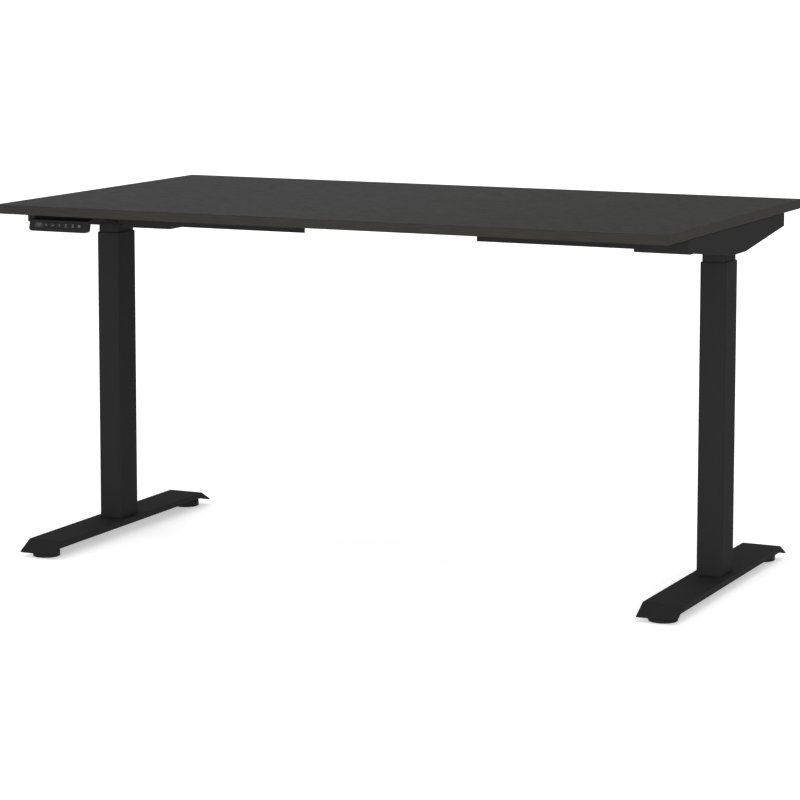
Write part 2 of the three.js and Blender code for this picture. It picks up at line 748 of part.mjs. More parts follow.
function handsetCable() {
  const slotY = railWidth / 2;
  const crossX = cableSpread - cableSlotOffset;
  const point = (x, y, z) => new THREE.Vector3(x, y, z);
  return cable([
    point(handsetCableX, handsetBackY - cableTail + 1, cableZ),
    point(handsetCableX, handsetBackY + 20, cableZ),
    point(handsetCableX + 12, handsetBackY + 60, cableZ),
    point((handsetCableX + crossX) / 2, (handsetBackY - slotY) / 2, cableZ),
    point(crossX - 6, -slotY - 40, cableZ),
    point(crossX, -slotY, cableZ),
    point(crossX, 0, cableZ),
    point(crossX, slotY, cableZ),
    point(crossX + 16, slotY + 22, cableZ),
    point((crossX - boxEndX) / 2, handsetCableBoxY + 2, cableZ),
    point(-boxEndX - 20, handsetCableBoxY, cableZ),
    point(-boxEndX + cableTail, handsetCableBoxY, cableZ),
  ]);
}

// ---- The desk ----
const desk = new THREE.Group();
desk.add(piece('desktop', desktop(), laminate));
desk.add(piece('edge_band', edgeBand(), edging));
desk.add(piece('centre_rail', centreRail(), powderCoat));
desk.add(leg('left', 1));
desk.add(leg('right', -1));
desk.add(piece('control_box_case', controlBoxCase(), blackPlastic));
desk.add(piece('control_box_lid', controlBoxLid(), zinc));
desk.add(piece('control_board', controlBoard(), boardGreen));
desk.add(piece('mains_inlet', mainsInlet(), greyPlastic));
desk.add(piece('handset_case', handsetCase(), greyPlastic));
desk.add(piece('handset_board', handsetBoard(), boardGreen));
keyNames.forEach((name, index) => desk.add(piece(name, key(keyXs[index]), keyPlastic)));
desk.add(piece('left_motor_cable', motorCable(1), blackPlastic));
desk.add(piece('right_motor_cable', motorCable(-1), blackPlastic));
desk.add(piece('handset_cable', handsetCable(), blackPlastic));

export default desk;
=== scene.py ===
import json
import math

import bmesh
import bpy
from mathutils import Matrix, Vector


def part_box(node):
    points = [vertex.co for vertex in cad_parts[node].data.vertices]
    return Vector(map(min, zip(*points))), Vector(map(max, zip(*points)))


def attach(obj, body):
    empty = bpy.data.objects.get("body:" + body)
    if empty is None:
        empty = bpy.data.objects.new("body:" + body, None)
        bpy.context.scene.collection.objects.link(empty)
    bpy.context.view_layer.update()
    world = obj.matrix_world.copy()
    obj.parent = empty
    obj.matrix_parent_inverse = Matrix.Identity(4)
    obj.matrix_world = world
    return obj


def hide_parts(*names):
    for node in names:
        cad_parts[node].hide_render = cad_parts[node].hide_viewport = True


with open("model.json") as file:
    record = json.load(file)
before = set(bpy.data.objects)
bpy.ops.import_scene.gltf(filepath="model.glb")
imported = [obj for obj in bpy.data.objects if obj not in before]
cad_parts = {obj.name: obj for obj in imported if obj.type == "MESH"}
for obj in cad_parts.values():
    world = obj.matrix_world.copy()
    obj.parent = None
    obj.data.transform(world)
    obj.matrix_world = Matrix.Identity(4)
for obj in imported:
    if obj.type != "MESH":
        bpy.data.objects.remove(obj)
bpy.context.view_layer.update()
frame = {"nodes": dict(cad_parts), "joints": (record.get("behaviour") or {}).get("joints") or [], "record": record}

# A height adjustable standing desk: the looks of its board, steel frame, drives, handset and cables.
# Metres, +Z up, +X along the desk's width, +Y towards its back.

MM = 0.001
SIDES = ("left", "right")
ALONG_DESK = (1, 0, 0)
DOWN = (0, 0, -1)
UP = (0, 0, 1)

# ---- Folded sheet and tube ----
FOOT_SHEET = 3 * MM
ARM_SHEET = 3 * MM
RAIL_SHEET = 2.5 * MM
FOOT_BEND = 2.1 * MM         # outside radius of the feet's pressed edges
BEND_INSIDE = 1.2 * MM       # inside radius of a folded edge
DEBURRED = 0.35 * MM         # rounding of a cut edge
TUBE_WALL = 1.5 * MM
TUBE_CORNER = 6 * MM         # outside corner radius of the outer column
INNER_TUBE_CORNER = TUBE_CORNER - TUBE_WALL - 0.75 * MM
ARM_SCREW_OFFSET = 20 * MM   # each screw of a pair to the middle of its arm
CLAMP_INSET = 30 * MM        # a rail clamp bolt to the end of the overlap

# ---- Board ----
BAND_THICKNESS = 2 * MM
BAND_ROUND = 0.9 * MM        # scraped round of the banding's edges
BAND_CORNER = 2.5 * MM       # radius of the banded board's upright corners
BOARD_ARRIS = 0.25 * MM
BOARD_CORNER = 1 * MM
GLUE_LINE = 0.04 * MM        # between the board and its banding

# ---- Glides and lifting screws ----
GLIDE_SOLE_ROUND = 1.5 * MM
GLIDE_RIM = 11.5 * MM        # height of a glide pad's rim
GLIDE_DOME = 15 * MM         # height of the pad's middle, where its nut sits
GLIDE_NUT = 4 * MM           # height of the nut
GLIDE_GRIPS = 30             # ribs round the rim
STUD_CORE = 3.4 * MM         # core radius of a glide's stud
STUD_PITCH = 1.25 * MM
SCREW_CORE = 5.9 * MM        # core radius of a lifting screw
SCREW_NECK = 6.9 * MM        # radius of its plain top
SCREW_PITCH = 4 * MM         # between threads; four starts give 16 mm of lift a turn

# ---- Mouldings ----
COLLAR_CLEARANCE = 0.3 * MM  # between a column's collar and its tubes
MOULDED_WALL = 2 * MM
COVER_ROUND = 3 * MM         # outside edges of a motor cover
CASE_ROUND = 1.6 * MM        # outside edges of the control box
HANDSET_ROUND = 1.2 * MM     # outside edges of the handset
INLET_ROUND = 0.6 * MM       # outside edges of the mains inlet
KEY_LENGTH = 4.6 * MM        # from a key's face to its back
KEY_HEIGHT = 9 * MM
KEY_RISE = 0.8 * MM          # of a key's face above the handset's
WINDOW_PROUD = 0.2 * MM      # of the display's window above the handset's face
WINDOW_FROM_KEY = 17 * MM    # from the first key's middle to the window's
MARK_PROUD = 0.09 * MM       # ink above a key's face

# ---- Cables ----
CABLE_RADIUS = 2.5 * MM
CABLE_SLOT = 410 * MM        # from the desk's middle to a rail's cable slot
CABLE_SPREAD = 9 * MM        # each of two cables to the middle of the slot they share
CABLE_TAIL = 8 * MM          # that a cable reaches into a housing
CABLE_DROP = 8.5 * MM        # from the board down to the middle of a cable
CLIP_WIDTH = 8 * MM

# ---- How finely round shapes are divided ----
CORNER_STEPS = 8             # to a quarter turn of a tube or plate
TURNED_STEPS = 48            # round a turned part
SMALL_STEPS = 24             # round a screw
ROUND_STEPS = 5              # across a large round
SMALL_ROUND_STEPS = 3        # across the inside of a bend
RIM_STEPS = 2                # across a deburred edge

# ---- What is rounded, and what stays crisp ----
SHARP = math.radians(38)       # edges turned by more than this are shaded crisp
CRISP_TURN = math.radians(20)  # edges of a CAD node turned by more than this are rounded
SAME_FLAT = math.radians(0.5)  # faces turned by less than this are one flat
SAME_CORNER = 0.02 * MM        # corners closer than this are one
LEAST_CORNER = 0.3 * MM        # radius left in a rounded rectangle's inset corners
WIDE_TO_WALL = 1.6             # a face this many walls across is a wide one, not a cut edge
LEAST_BEND = 8 * MM            # length of the shortest bend that is rounded
LEAST_RIM = 6 * MM             # length of the shortest cut edge that is deburred
CROSS_WAIST = 0.32             # a cross recess's waist as a share of its reach
CROSS_NARROWNESS = 8           # the higher, the thinner its arms


# ---- Colour and shader nodes ----
def colour(code):
    """A #rrggbb colour as the linear RGBA that shader sockets take."""
    levels = [int(code[place:place + 2], 16) / 255 for place in (1, 3, 5)]
    return [v / 12.92 if v <= 0.04045 else ((v + 0.055) / 1.055) ** 2.4 for v in levels] + [1.0]


def add_node(tree, kind, inputs=None, **settings):
    """Adds a node: settings are its own options, and each input is a value or the socket linked to it."""
    made = tree.nodes.new(kind)
    for option, value in settings.items():
        setattr(made, option, value)
    for key, value in (inputs or {}).items():
        if isinstance(value, bpy.types.NodeSocket):
            tree.links.new(value, made.inputs[key])
        else:
            made.inputs[key].default_value = value
    return made


def blank_material(name):
    """A material with only its output, and the object coordinates that its patterns are laid on."""
    made = bpy.data.materials.new(name)
    made.use_nodes = True
    made.node_tree.nodes.clear()
    place = add_node(made.node_tree, "ShaderNodeTexCoord").outputs["Object"]
    return made, made.node_tree, place


def close_material(tree, shader):
    """Sends the finished shader out to the surface."""
    add_node(tree, "ShaderNodeOutputMaterial", {"Surface": shader.outputs["BSDF"]})


def per(size):
    """The scale of a texture whose features are this many metres across."""
    return 1 / size


# ---- Materials ----
def melamine_woodgrain():
    """Melamine faced chipboard: a printed dark oak decor under resin, pressed on an open-pore plate.
    It gives the board long faint streaks along its width, fine dark pores and a dull, dry gloss."""
    made, tree, place = blank_material("melamine_woodgrain")
    streak_place = add_node(tree, "ShaderNodeMapping", {"Vector": place, "Scale": (0.035, 1, 1)})
    streaks = add_node(tree, "ShaderNodeTexNoise", {
        "Vector": streak_place.outputs[0], "Scale": per(9 * MM), "Detail": 5, "Roughness": 0.6,
        "Distortion": 0.4})
    bands = add_node(tree, "ShaderNodeTexNoise", {
        "Vector": streak_place.outputs[0], "Scale": per(60 * MM), "Detail": 2, "Roughness": 0.5})
    pore_place = add_node(tree, "ShaderNodeMapping", {"Vector": place, "Scale": (0.06, 1, 1)})
    # Real pores are 0.3 mm wide; they are drawn at 1.4 mm so that they show.
    pores = add_node(tree, "ShaderNodeTexNoise", {
        "Vector": pore_place.outputs[0], "Scale": per(1.4 * MM), "Detail": 3, "Roughness": 0.7})
    pore_depth = add_node(tree, "ShaderNodeMapRange", {
        "Value": pores.outputs["Fac"], "From Min": 0.36, "From Max": 0.52, "To Min": 0, "To Max": 1})
    decor = add_node(tree, "ShaderNodeValToRGB", {"Fac": streaks.outputs["Fac"]})
    decor.color_ramp.elements[0].position = 0.30
    decor.color_ramp.elements[0].color = colour("#363636")
    decor.color_ramp.elements[1].position = 0.72
    decor.color_ramp.elements[1].color = colour("#3f3f3f")
    broad = add_node(tree, "ShaderNodeMix", {
        "Factor": bands.outputs["Fac"], 6: decor.outputs["Color"], 7: colour("#3b3b3b")}, data_type="RGBA")
    dark_pores = add_node(tree, "ShaderNodeMix", {
        "Factor": pore_depth.outputs[0], 6: colour("#2c2c2b"), 7: broad.outputs[2]}, data_type="RGBA")
    # Painted shade: the decor is multiplied slowly to a warmer, darker tone towards the board's right end, where
    # the top takes less light.
    across = add_node(tree, "ShaderNodeSeparateXYZ", {"Vector": place}).outputs["X"]
    painted_shade_falloff = add_node(tree, "ShaderNodeMapRange", {"Value": across, "From Min": -0.1, "From Max": 0.45})
    shaded_decor = add_node(tree, "ShaderNodeMix", {
        "Factor": painted_shade_falloff.outputs[0], 6: dark_pores.outputs[2], 7: colour("#e6e6df")},
        data_type="RGBA", blend_type="MULTIPLY")
    gloss = add_node(tree, "ShaderNodeMapRange", {
        "Value": pore_depth.outputs[0], "From Min": 0, "From Max": 1, "To Min": 0.86, "To Max": 0.74})
    relief = add_node(tree, "ShaderNodeBump", {
        "Height": pore_depth.outputs[0], "Strength": 0.5, "Distance": 0.06 * MM})
    shader = add_node(tree, "ShaderNodeBsdfPrincipled", {
        "Base Color": shaded_decor.outputs[2], "Roughness": gloss.outputs[0], "IOR": 1.5,
        "Specular IOR Level": 0.04, "Normal": relief.outputs[0]})
    close_material(tree, shader)
    return made


def abs_edge_banding():
    """ABS edge banding: 2 mm extruded plastic, colour matched and embossed, glued on and scraped round.
    It gives the board's edge a slightly browner, duller line than its faces: the brown is the banding's own, and
    its darker tone is painted shade for the upright edge, which takes less light than the top."""
    made, tree, place = blank_material("abs_edge_banding")
    along = add_node(tree, "ShaderNodeMapping", {"Vector": place, "Scale": (0.05, 0.05, 1)})
    fibres = add_node(tree, "ShaderNodeTexNoise", {
        "Vector": along.outputs[0], "Scale": per(2.2 * MM), "Detail": 3, "Roughness": 0.6})
    # Painted shade: these tones sit darker than the board's decor, to darken the upright edge as its shade does.
    tone = add_node(tree, "ShaderNodeValToRGB", {"Fac": fibres.outputs["Fac"]})
    tone.color_ramp.elements[0].position = 0.3
    tone.color_ramp.elements[0].color = colour("#272623")
    tone.color_ramp.elements[1].position = 0.72
    tone.color_ramp.elements[1].color = colour("#2f2e2a")
    relief = add_node(tree, "ShaderNodeBump", {
        "Height": fibres.outputs["Fac"], "Strength": 0.35, "Distance": 0.05 * MM})
    shader = add_node(tree, "ShaderNodeBsdfPrincipled", {
        "Base Color": tone.outputs["Color"], "Roughness": 0.74, "IOR": 1.53,
        "Specular IOR Level": 0.06, "Normal": relief.outputs[0]})
    close_material(tree, shader)
    return made


def textured_powder_coat():
    """Polyester powder coat on steel: sprayed dry and baked, finely sandy over a slight orange peel.
    It gives the frame a flat, even black that is only a little lighter along its rounded edges."""
    made, tree, place = blank_material("textured_powder_coat")
    # The texture's real grit is 0.3 mm; it is drawn at 0.9 mm so that it shows.
    grit = add_node(tree, "ShaderNodeTexNoise", {
        "Vector": place, "Scale": per(0.9 * MM), "Detail": 2, "Roughness": 0.6})
    peel = add_node(tree, "ShaderNodeTexNoise", {
        "Vector": place, "Scale": per(6 * MM), "Detail": 1, "Roughness": 0.5})
    cloud = add_node(tree, "ShaderNodeTexNoise", {
        "Vector": place, "Scale": per(120 * MM), "Detail": 2, "Roughness": 0.5})
    tone = add_node(tree, "ShaderNodeMix", {
        "Factor": grit.outputs["Fac"], 6: colour("#1e1e1f"), 7: colour("#282829")}, data_type="RGBA")
    patchy = add_node(tree, "ShaderNodeMix", {
        "Factor": cloud.outputs["Fac"], 6: tone.outputs[2], 7: colour("#232324")}, data_type="RGBA")
    gloss = add_node(tree, "ShaderNodeMapRange", {
        "Value": grit.outputs["Fac"], "From Min": 0.3, "From Max": 0.7, "To Min": 0.72, "To Max": 0.86})
    fine = add_node(tree, "ShaderNodeBump", {
        "Height": grit.outputs["Fac"], "Strength": 0.45, "Distance": 0.06 * MM})
    relief = add_node(tree, "ShaderNodeBump", {
        "Height": peel.outputs["Fac"], "Strength": 0.25, "Distance": 0.08 * MM, "Normal": fine.outputs[0]})
    shader = add_node(tree, "ShaderNodeBsdfPrincipled", {
        "Base Color": patchy.outputs[2], "Roughness": gloss.outputs[0], "IOR": 1.5,
        "Specular IOR Level": 0.03, "Normal": relief.outputs[0]})
    close_material(tree, shader)
    return made


def moulded_plastic(name, base, light, roughness, grain):
    """Injection moulded ABS or nylon from a spark-eroded tool: an even colour with a fine matt grain,
    which gives covers and cases a soft bloom instead of a clear reflection."""
    made, tree, place = blank_material(name)
    erosion = add_node(tree, "ShaderNodeTexVoronoi", {"Vector": place, "Scale": per(grain)})
    flow = add_node(tree, "ShaderNodeTexNoise", {
        "Vector": place, "Scale": per(45 * MM), "Detail": 2, "Roughness": 0.5})
    tone = add_node(tree, "ShaderNodeMix", {
        "Factor": flow.outputs["Fac"], 6: colour(base), 7: colour(light)}, data_type="RGBA")
    gloss = add_node(tree, "ShaderNodeMapRange", {
        "Value": erosion.outputs["Distance"], "From Min": 0, "From Max": 0.8,
        "To Min": roughness - 0.06, "To Max": roughness + 0.08})
    relief = add_node(tree, "ShaderNodeBump", {
        "Height": erosion.outputs["Distance"], "Strength": 0.3, "Distance": 0.04 * MM})
    shader = add_node(tree, "ShaderNodeBsdfPrincipled", {
        "Base Color": tone.outputs[2], "Roughness": gloss.outputs[0], "IOR": 1.49,
        "Specular IOR Level": 0.12, "Normal": relief.outputs[0]})
    close_material(tree, shader)
    return made


def tinted_acrylic():
    """Tinted acrylic over the height display: moulded in a polished tool, so it gives a clear dark
    reflection with faint flow marks under it."""
    made, tree, place = blank_material("tinted_acrylic_window")
    flow = add_node(tree, "ShaderNodeTexNoise", {"Vector": place, "Scale": per(7 * MM), "Detail": 1})
    tone = add_node(tree, "ShaderNodeMix", {
        "Factor": flow.outputs["Fac"], 6: colour("#121418"), 7: colour("#1a1d22")}, data_type="RGBA")
    shader = add_node(tree, "ShaderNodeBsdfPrincipled", {
        "Base Color": tone.outputs[2], "Roughness": 0.12, "IOR": 1.49})
    close_material(tree, shader)
    return made


def pad_printed_ink():
    """Pad printed marks: grey ink, a little thinner here and there, dry and matt."""
    made, tree, place = blank_material("pad_printed_grey_ink")
    thin = add_node(tree, "ShaderNodeTexNoise", {"Vector": place, "Scale": per(0.8 * MM), "Detail": 2})
    tone = add_node(tree, "ShaderNodeMix", {
        "Factor": thin.outputs["Fac"], 6: colour("#4d4c46"), 7: colour("#64635b")}, data_type="RGBA")
    shader = add_node(tree, "ShaderNodeBsdfPrincipled", {
        "Base Color": tone.outputs[2], "Roughness": 0.6, "IOR": 1.5})
    close_material(tree, shader)
    return made


def zinc_plate():
    """Zinc plated steel, blue passivated: a bluish grey metal with cloudy patches and faint iridescence,
    which gives fixings and plates a soft broken shine."""
    made, tree, place = blank_material("zinc_plated_steel")
    patches = add_node(tree, "ShaderNodeTexNoise", {
        "Vector": place, "Scale": per(5 * MM), "Detail": 4, "Roughness": 0.6})
    tone = add_node(tree, "ShaderNodeValToRGB", {"Fac": patches.outputs["Fac"]})
    tone.color_ramp.elements[0].position = 0.3
    tone.color_ramp.elements[0].color = colour("#8d949c")
    tone.color_ramp.elements[1].position = 0.75
    tone.color_ramp.elements[1].color = colour("#b4b8b6")
    gloss = add_node(tree, "ShaderNodeMapRange", {
        "Value": patches.outputs["Fac"], "From Min": 0.3, "From Max": 0.7, "To Min": 0.28, "To Max": 0.46})
    relief = add_node(tree, "ShaderNodeBump", {
        "Height": patches.outputs["Fac"], "Strength": 0.2, "Distance": 0.03 * MM})
    shader = add_node(tree, "ShaderNodeBsdfPrincipled", {
        "Base Color": tone.outputs["Color"], "Metallic": 1, "Roughness": gloss.outputs[0],
        "Normal": relief.outputs[0]})
    close_material(tree, shader)
    return made


def machined_metal(name, dark, light, roughness, lines):
    """Turned or ground metal left bare: fine tool lines over a slightly uneven tone, which draw its
    highlights out into bright bands."""
    made, tree, place = blank_material(name)
    line_place = add_node(tree, "ShaderNodeMapping", {"Vector": place, "Scale": (0.08, 0.08, 1)})
    cuts = add_node(tree, "ShaderNodeTexNoise", {
        "Vector": line_place.outputs[0], "Scale": per(lines), "Detail": 2, "Roughness": 0.6})
    tone = add_node(tree, "ShaderNodeMix", {
        "Factor": cuts.outputs["Fac"], 6: colour(dark), 7: colour(light)}, data_type="RGBA")
    gloss = add_node(tree, "ShaderNodeMapRange", {
        "Value": cuts.outputs["Fac"], "From Min": 0.3, "From Max": 0.7,
        "To Min": roughness - 0.07, "To Max": roughness + 0.08})
    relief = add_node(tree, "ShaderNodeBump", {
        "Height": cuts.outputs["Fac"], "Strength": 0.3, "Distance": 0.02 * MM})
    shader = add_node(tree, "ShaderNodeBsdfPrincipled", {
        "Base Color": tone.outputs[2], "Metallic": 1, "Roughness": gloss.outputs[0],
        "Normal": relief.outputs[0]})
    close_material(tree, shader)
    return made


def cast_alloy():
    """Pressure die cast aluminium: dull grey with flow marks and a pebbly, slightly oxidised skin."""
    made, tree, place = blank_material("die_cast_aluminium")
    skin = add_node(tree, "ShaderNodeTexNoise", {
        "Vector": place, "Scale": per(1.6 * MM), "Detail": 3, "Roughness": 0.6})
    flow = add_node(tree, "ShaderNodeTexNoise", {"Vector": place, "Scale": per(20 * MM), "Detail": 3})
    tone = add_node(tree, "ShaderNodeMix", {
        "Factor": flow.outputs["Fac"], 6: colour("#7d8082"), 7: colour("#95989a")}, data_type="RGBA")
    relief = add_node(tree, "ShaderNodeBump", {
        "Height": skin.outputs["Fac"], "Strength": 0.4, "Distance": 0.08 * MM})
    shader = add_node(tree, "ShaderNodeBsdfPrincipled", {
        "Base Color": tone.outputs[2], "Metallic": 1, "Roughness": 0.5, "Normal": relief.outputs[0]})
    close_material(tree, shader)
    return made


def circuit_board():
    """A printed circuit board: copper tracks under green solder mask, seen as paler, raised lines."""
    made, tree, place = blank_material("solder_masked_board")
    tracks = add_node(tree, "ShaderNodeTexBrick", {
        "Vector": place, "Scale": per(5 * MM), "Mortar Size": 0.06, "Color1": colour("#17452a"),
        "Color2": colour("#1d5233"), "Mortar": colour("#3b7a4c")}, offset=0.37, squash=0.6)
    relief = add_node(tree, "ShaderNodeBump", {
        "Height": tracks.outputs["Fac"], "Strength": 0.4, "Distance": 0.04 * MM})
    shader = add_node(tree, "ShaderNodeBsdfPrincipled", {
        "Base Color": tracks.outputs["Color"], "Roughness": 0.35, "IOR": 1.5, "Normal": relief.outputs[0]})
    close_material(tree, shader)
    return made


def pvc_jacket():
    """PVC cable jacket, extruded: satin black with a slow ripple in its gloss along the cable."""
    made, tree, place = blank_material("pvc_cable_jacket")
    ripple = add_node(tree, "ShaderNodeTexNoise", {"Vector": place, "Scale": per(9 * MM), "Detail": 2})
    tone = add_node(tree, "ShaderNodeMix", {
        "Factor": ripple.outputs["Fac"], 6: colour("#151516"), 7: colour("#1d1d1e")}, data_type="RGBA")
    gloss = add_node(tree, "ShaderNodeMapRange", {
        "Value": ripple.outputs["Fac"], "From Min": 0.3, "From Max": 0.7, "To Min": 0.34, "To Max": 0.48})
    shader = add_node(tree, "ShaderNodeBsdfPrincipled", {
        "Base Color": tone.outputs[2], "Roughness": gloss.outputs[0], "IOR": 1.53})
    close_material(tree, shader)
    return made


FINISHES = {
    "desktop_laminate": melamine_woodgrain(),
    "edge_banding": abs_edge_banding(),
    "powder_coat": textured_powder_coat(),
    "black_plastic": moulded_plastic("moulded_black_nylon", "#171718", "#1d1d1e", 0.52, 0.9 * MM),
    "grey_plastic": moulded_plastic("moulded_grey_abs", "#151516", "#1a1a1b", 0.64, 0.8 * MM),
    "key_plastic": moulded_plastic("moulded_key_caps", "#1a1a1b", "#1f1f20", 0.58, 0.6 * MM),
    "zinc_steel": zinc_plate(),
    "bright_steel": machined_metal("ground_bright_steel", "#a9adb0", "#c6c9cb", 0.26, 0.8 * MM),
    "brass": machined_metal("machined_brass", "#b08e4c", "#cdae66", 0.28, 0.8 * MM),
    "gearbox_alloy": cast_alloy(),
    "nylon": moulded_plastic("natural_nylon", "#dcd9cd", "#e6e4da", 0.5, 0.9 * MM),
    "circuit_board": circuit_board(),
    "cable_jacket": pvc_jacket(),
}
INK = pad_printed_ink()
WINDOW = tinted_acrylic()


# ---- Making a piece ----
def object_of(name, mesh):
    """An object at the origin, unturned, that shows a mesh, a lamp or a camera."""
    made = bpy.data.objects.new(name, mesh)
    bpy.context.scene.collection.objects.link(made)
    return made


def baked(piece):
    """Makes the result of a piece's modifiers its plain mesh."""
    bpy.context.view_layer.update()
    result = bpy.data.meshes.new_from_object(piece.evaluated_get(bpy.context.evaluated_depsgraph_get()))
    piece.modifiers.clear()
    piece.data = result
    return piece


def smoothed(name, bm):
    """An object from a bmesh, shaded smooth over its rounds and true over its flats."""
    mesh = bpy.data.meshes.new(name)
    bm.to_mesh(mesh)
    bm.free()
    mesh.shade_smooth()
    mesh.set_sharp_from_angle(angle=SHARP)
    made = object_of(name, mesh)
    even = made.modifiers.new("even_shading", "WEIGHTED_NORMAL")
    even.keep_sharp = True
    return baked(made)


def belongs(piece, finish, body, *stands_for):
    """Gives a piece the finish of its slot, hides the CAD nodes it stands for, and hangs it on the body it rides
    on.
    """
    piece.data.materials.clear()
    piece.data.materials.append(FINISHES[finish])
    if stands_for:
        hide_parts(*stands_for)
    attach(piece, body)
    return piece


# ---- Shapes ----
def rounded_outline(width, depth, corner, centre):
    """The points of a rounded rectangle, anticlockwise from above."""
    points = []
    for quarter, (side_x, side_y) in enumerate(((1, 1), (-1, 1), (-1, -1), (1, -1))):
        middle_x = centre[0] + side_x * (width / 2 - corner)
        middle_y = centre[1] + side_y * (depth / 2 - corner)
        for step in range(CORNER_STEPS + 1):
            turn = math.radians(90) * (quarter + step / CORNER_STEPS)
            points.append((middle_x + corner * math.cos(turn), middle_y + corner * math.sin(turn)))
    return points


def skin(bm, ring, following):
    """Faces from one ring of corners to the next."""
    for index in range(len(ring)):
        beside = (index + 1) % len(ring)
        bm.faces.new((ring[index], ring[beside], following[beside], following[index]))


def carried_round(width, depth, corner, centre, profile, closed=True):
    """(inset, height) pairs carried round a rounded rectangle: a closed profile makes a tube, an open one
    is capped."""
    bm = bmesh.new()
    rings = []
    for inset, height in profile:
        round_left = max(corner - inset, LEAST_CORNER)
        outline = rounded_outline(width - 2 * inset, depth - 2 * inset, round_left, centre)
        rings.append([bm.verts.new((x, y, height)) for x, y in outline])
    for ring, following in zip(rings, rings[1:] + rings[:1] if closed else rings[1:]):
        skin(bm, ring, following)
    if not closed:
        bm.faces.new(rings[0])
        bm.faces.new(rings[-1])
    bmesh.ops.recalc_face_normals(bm, faces=bm.faces)
    return bm


def quarter_round(inset, height, radius, start, steps=4):
    """Points of a quarter circle in (inset, height), from the given start angle, anticlockwise."""
    turns = [start + math.radians(90) * step / steps for step in range(steps + 1)]
    return [(inset + radius * math.cos(turn), height + radius * math.sin(turn)) for turn in turns]


def reach(radius, shape, turn):
    """How far a turned section reaches at an angle: round, a hexagon to its corners, or a cross recess."""
    if shape == "hex":
        sixth = math.radians(60)
        return radius * math.cos(sixth / 2) / math.cos(turn % sixth - sixth / 2)
    if shape == "cross":
        return radius * (CROSS_WAIST + (1 - CROSS_WAIST) * math.cos(2 * turn) ** CROSS_NARROWNESS)
    return radius


def turned(profile, centre=(0, 0), steps=TURNED_STEPS):
    """(radius, height, shape) sections about an upright axis, closed at both ends."""
    bm = bmesh.new()
    rings = []
    for radius, height, *shape in profile:
        if radius == 0:
            rings.append([bm.verts.new((centre[0], centre[1], height))])
            continue
        ring = []
        for step in range(steps):
            turn = math.radians(360) * step / steps
            out = reach(radius, shape[0] if shape else "round", turn)
            x = centre[0] + out * math.cos(turn)
            y = centre[1] + out * math.sin(turn)
            ring.append(bm.verts.new((x, y, height)))
        rings.append(ring)
    for ring, following in zip(rings, rings[1:]):
        if len(ring) > 1 and len(following) > 1:
            skin(bm, ring, following)
        elif len(ring) > 1 or len(following) > 1:
            around, pole = (ring, following[0]) if len(ring) > 1 else (following, ring[0])
            for index in range(len(around)):
                bm.faces.new((around[index], around[(index + 1) % len(around)], pole))
    for ring in (rings[0], rings[-1]):
        if len(ring) > 1:
            bm.faces.new(ring)
    bmesh.ops.recalc_face_normals(bm, faces=bm.faces)
    return bm


def whole_copy(node):
    """A CAD node's mesh with its corners merged and its flat faces made whole."""
    bm = bmesh.new()
    bm.from_mesh(frame["nodes"][node].data)
    bmesh.ops.remove_doubles(bm, verts=bm.verts, dist=SAME_CORNER)
    bmesh.ops.dissolve_limit(bm, angle_limit=SAME_FLAT, verts=bm.verts, edges=bm.edges)
    return bm


def is_wide(face, least):
    """Whether a face is more than a strip of the least width along its longest side."""
    return face.calc_area() / max(edge.calc_length() for edge in face.edges) > least


def turned_edges(bm, wide, convex, least_width, least_length):
    """The crisp edges between two wide faces, or between others, that turn outwards or inwards."""
    found = []
    for edge in bm.edges:
        if len(edge.link_faces) != 2 or edge.calc_length() < least_length:
            continue
        turn = edge.calc_face_angle_signed(0)
        both_wide = all(is_wide(face, least_width) for face in edge.link_faces)
        right_way = convex is None or (turn > 0) == convex
        if abs(turn) > CRISP_TURN and both_wide == wide and right_way:
            found.append(edge)
    return found


def rounded_edges(bm, edges, radius, segments):
    """Rounds the given edges, if there are any."""
    if edges:
        bmesh.ops.bevel(bm, geom=edges, offset=radius, segments=segments, profile=0.5, affect="EDGES",
                        clamp_overlap=True)


def flats_split(bm):
    """Merges the points that a round has run together, closes the slits left by that, and splits the
    hollow-sided flats so that each fills true."""
    bmesh.ops.remove_doubles(bm, verts=bm.verts, dist=SAME_CORNER / 2)
    bmesh.ops.holes_fill(bm, edges=[edge for edge in bm.edges if edge.is_boundary], sides=0)
    bmesh.ops.connect_verts_concave(bm, faces=bm.faces)
    bmesh.ops.triangulate(bm, faces=[face for face in bm.faces if len(face.verts) > 4])
    return bm


def folded_sheet(name, node, sheet, bend_outside=None):
    """A folded steel part: its bends rounded outside and inside, its cut edges deburred."""
    bm = whole_copy(node)
    wide = WIDE_TO_WALL * sheet
    outside = bend_outside or BEND_INSIDE + sheet
    rounded_edges(bm, turned_edges(bm, True, True, wide, LEAST_BEND), outside, ROUND_STEPS)
    rounded_edges(bm, turned_edges(bm, True, False, wide, LEAST_BEND), BEND_INSIDE, SMALL_ROUND_STEPS)
    rounded_edges(bm, turned_edges(bm, False, None, wide, LEAST_RIM), DEBURRED, RIM_STEPS)
    return smoothed(name, flats_split(bm))


def moulded_shell(name, node, radius, wall):
    """A moulded cover or case: generous rounds outside, small ones on its rims and openings."""
    bm = whole_copy(node)
    wide = WIDE_TO_WALL * wall
    rounded_edges(bm, turned_edges(bm, True, True, wide, LEAST_BEND), radius, ROUND_STEPS)
    rounded_edges(bm, turned_edges(bm, False, None, wide, LEAST_RIM), DEBURRED, RIM_STEPS)
    return smoothed(name, flats_split(bm))


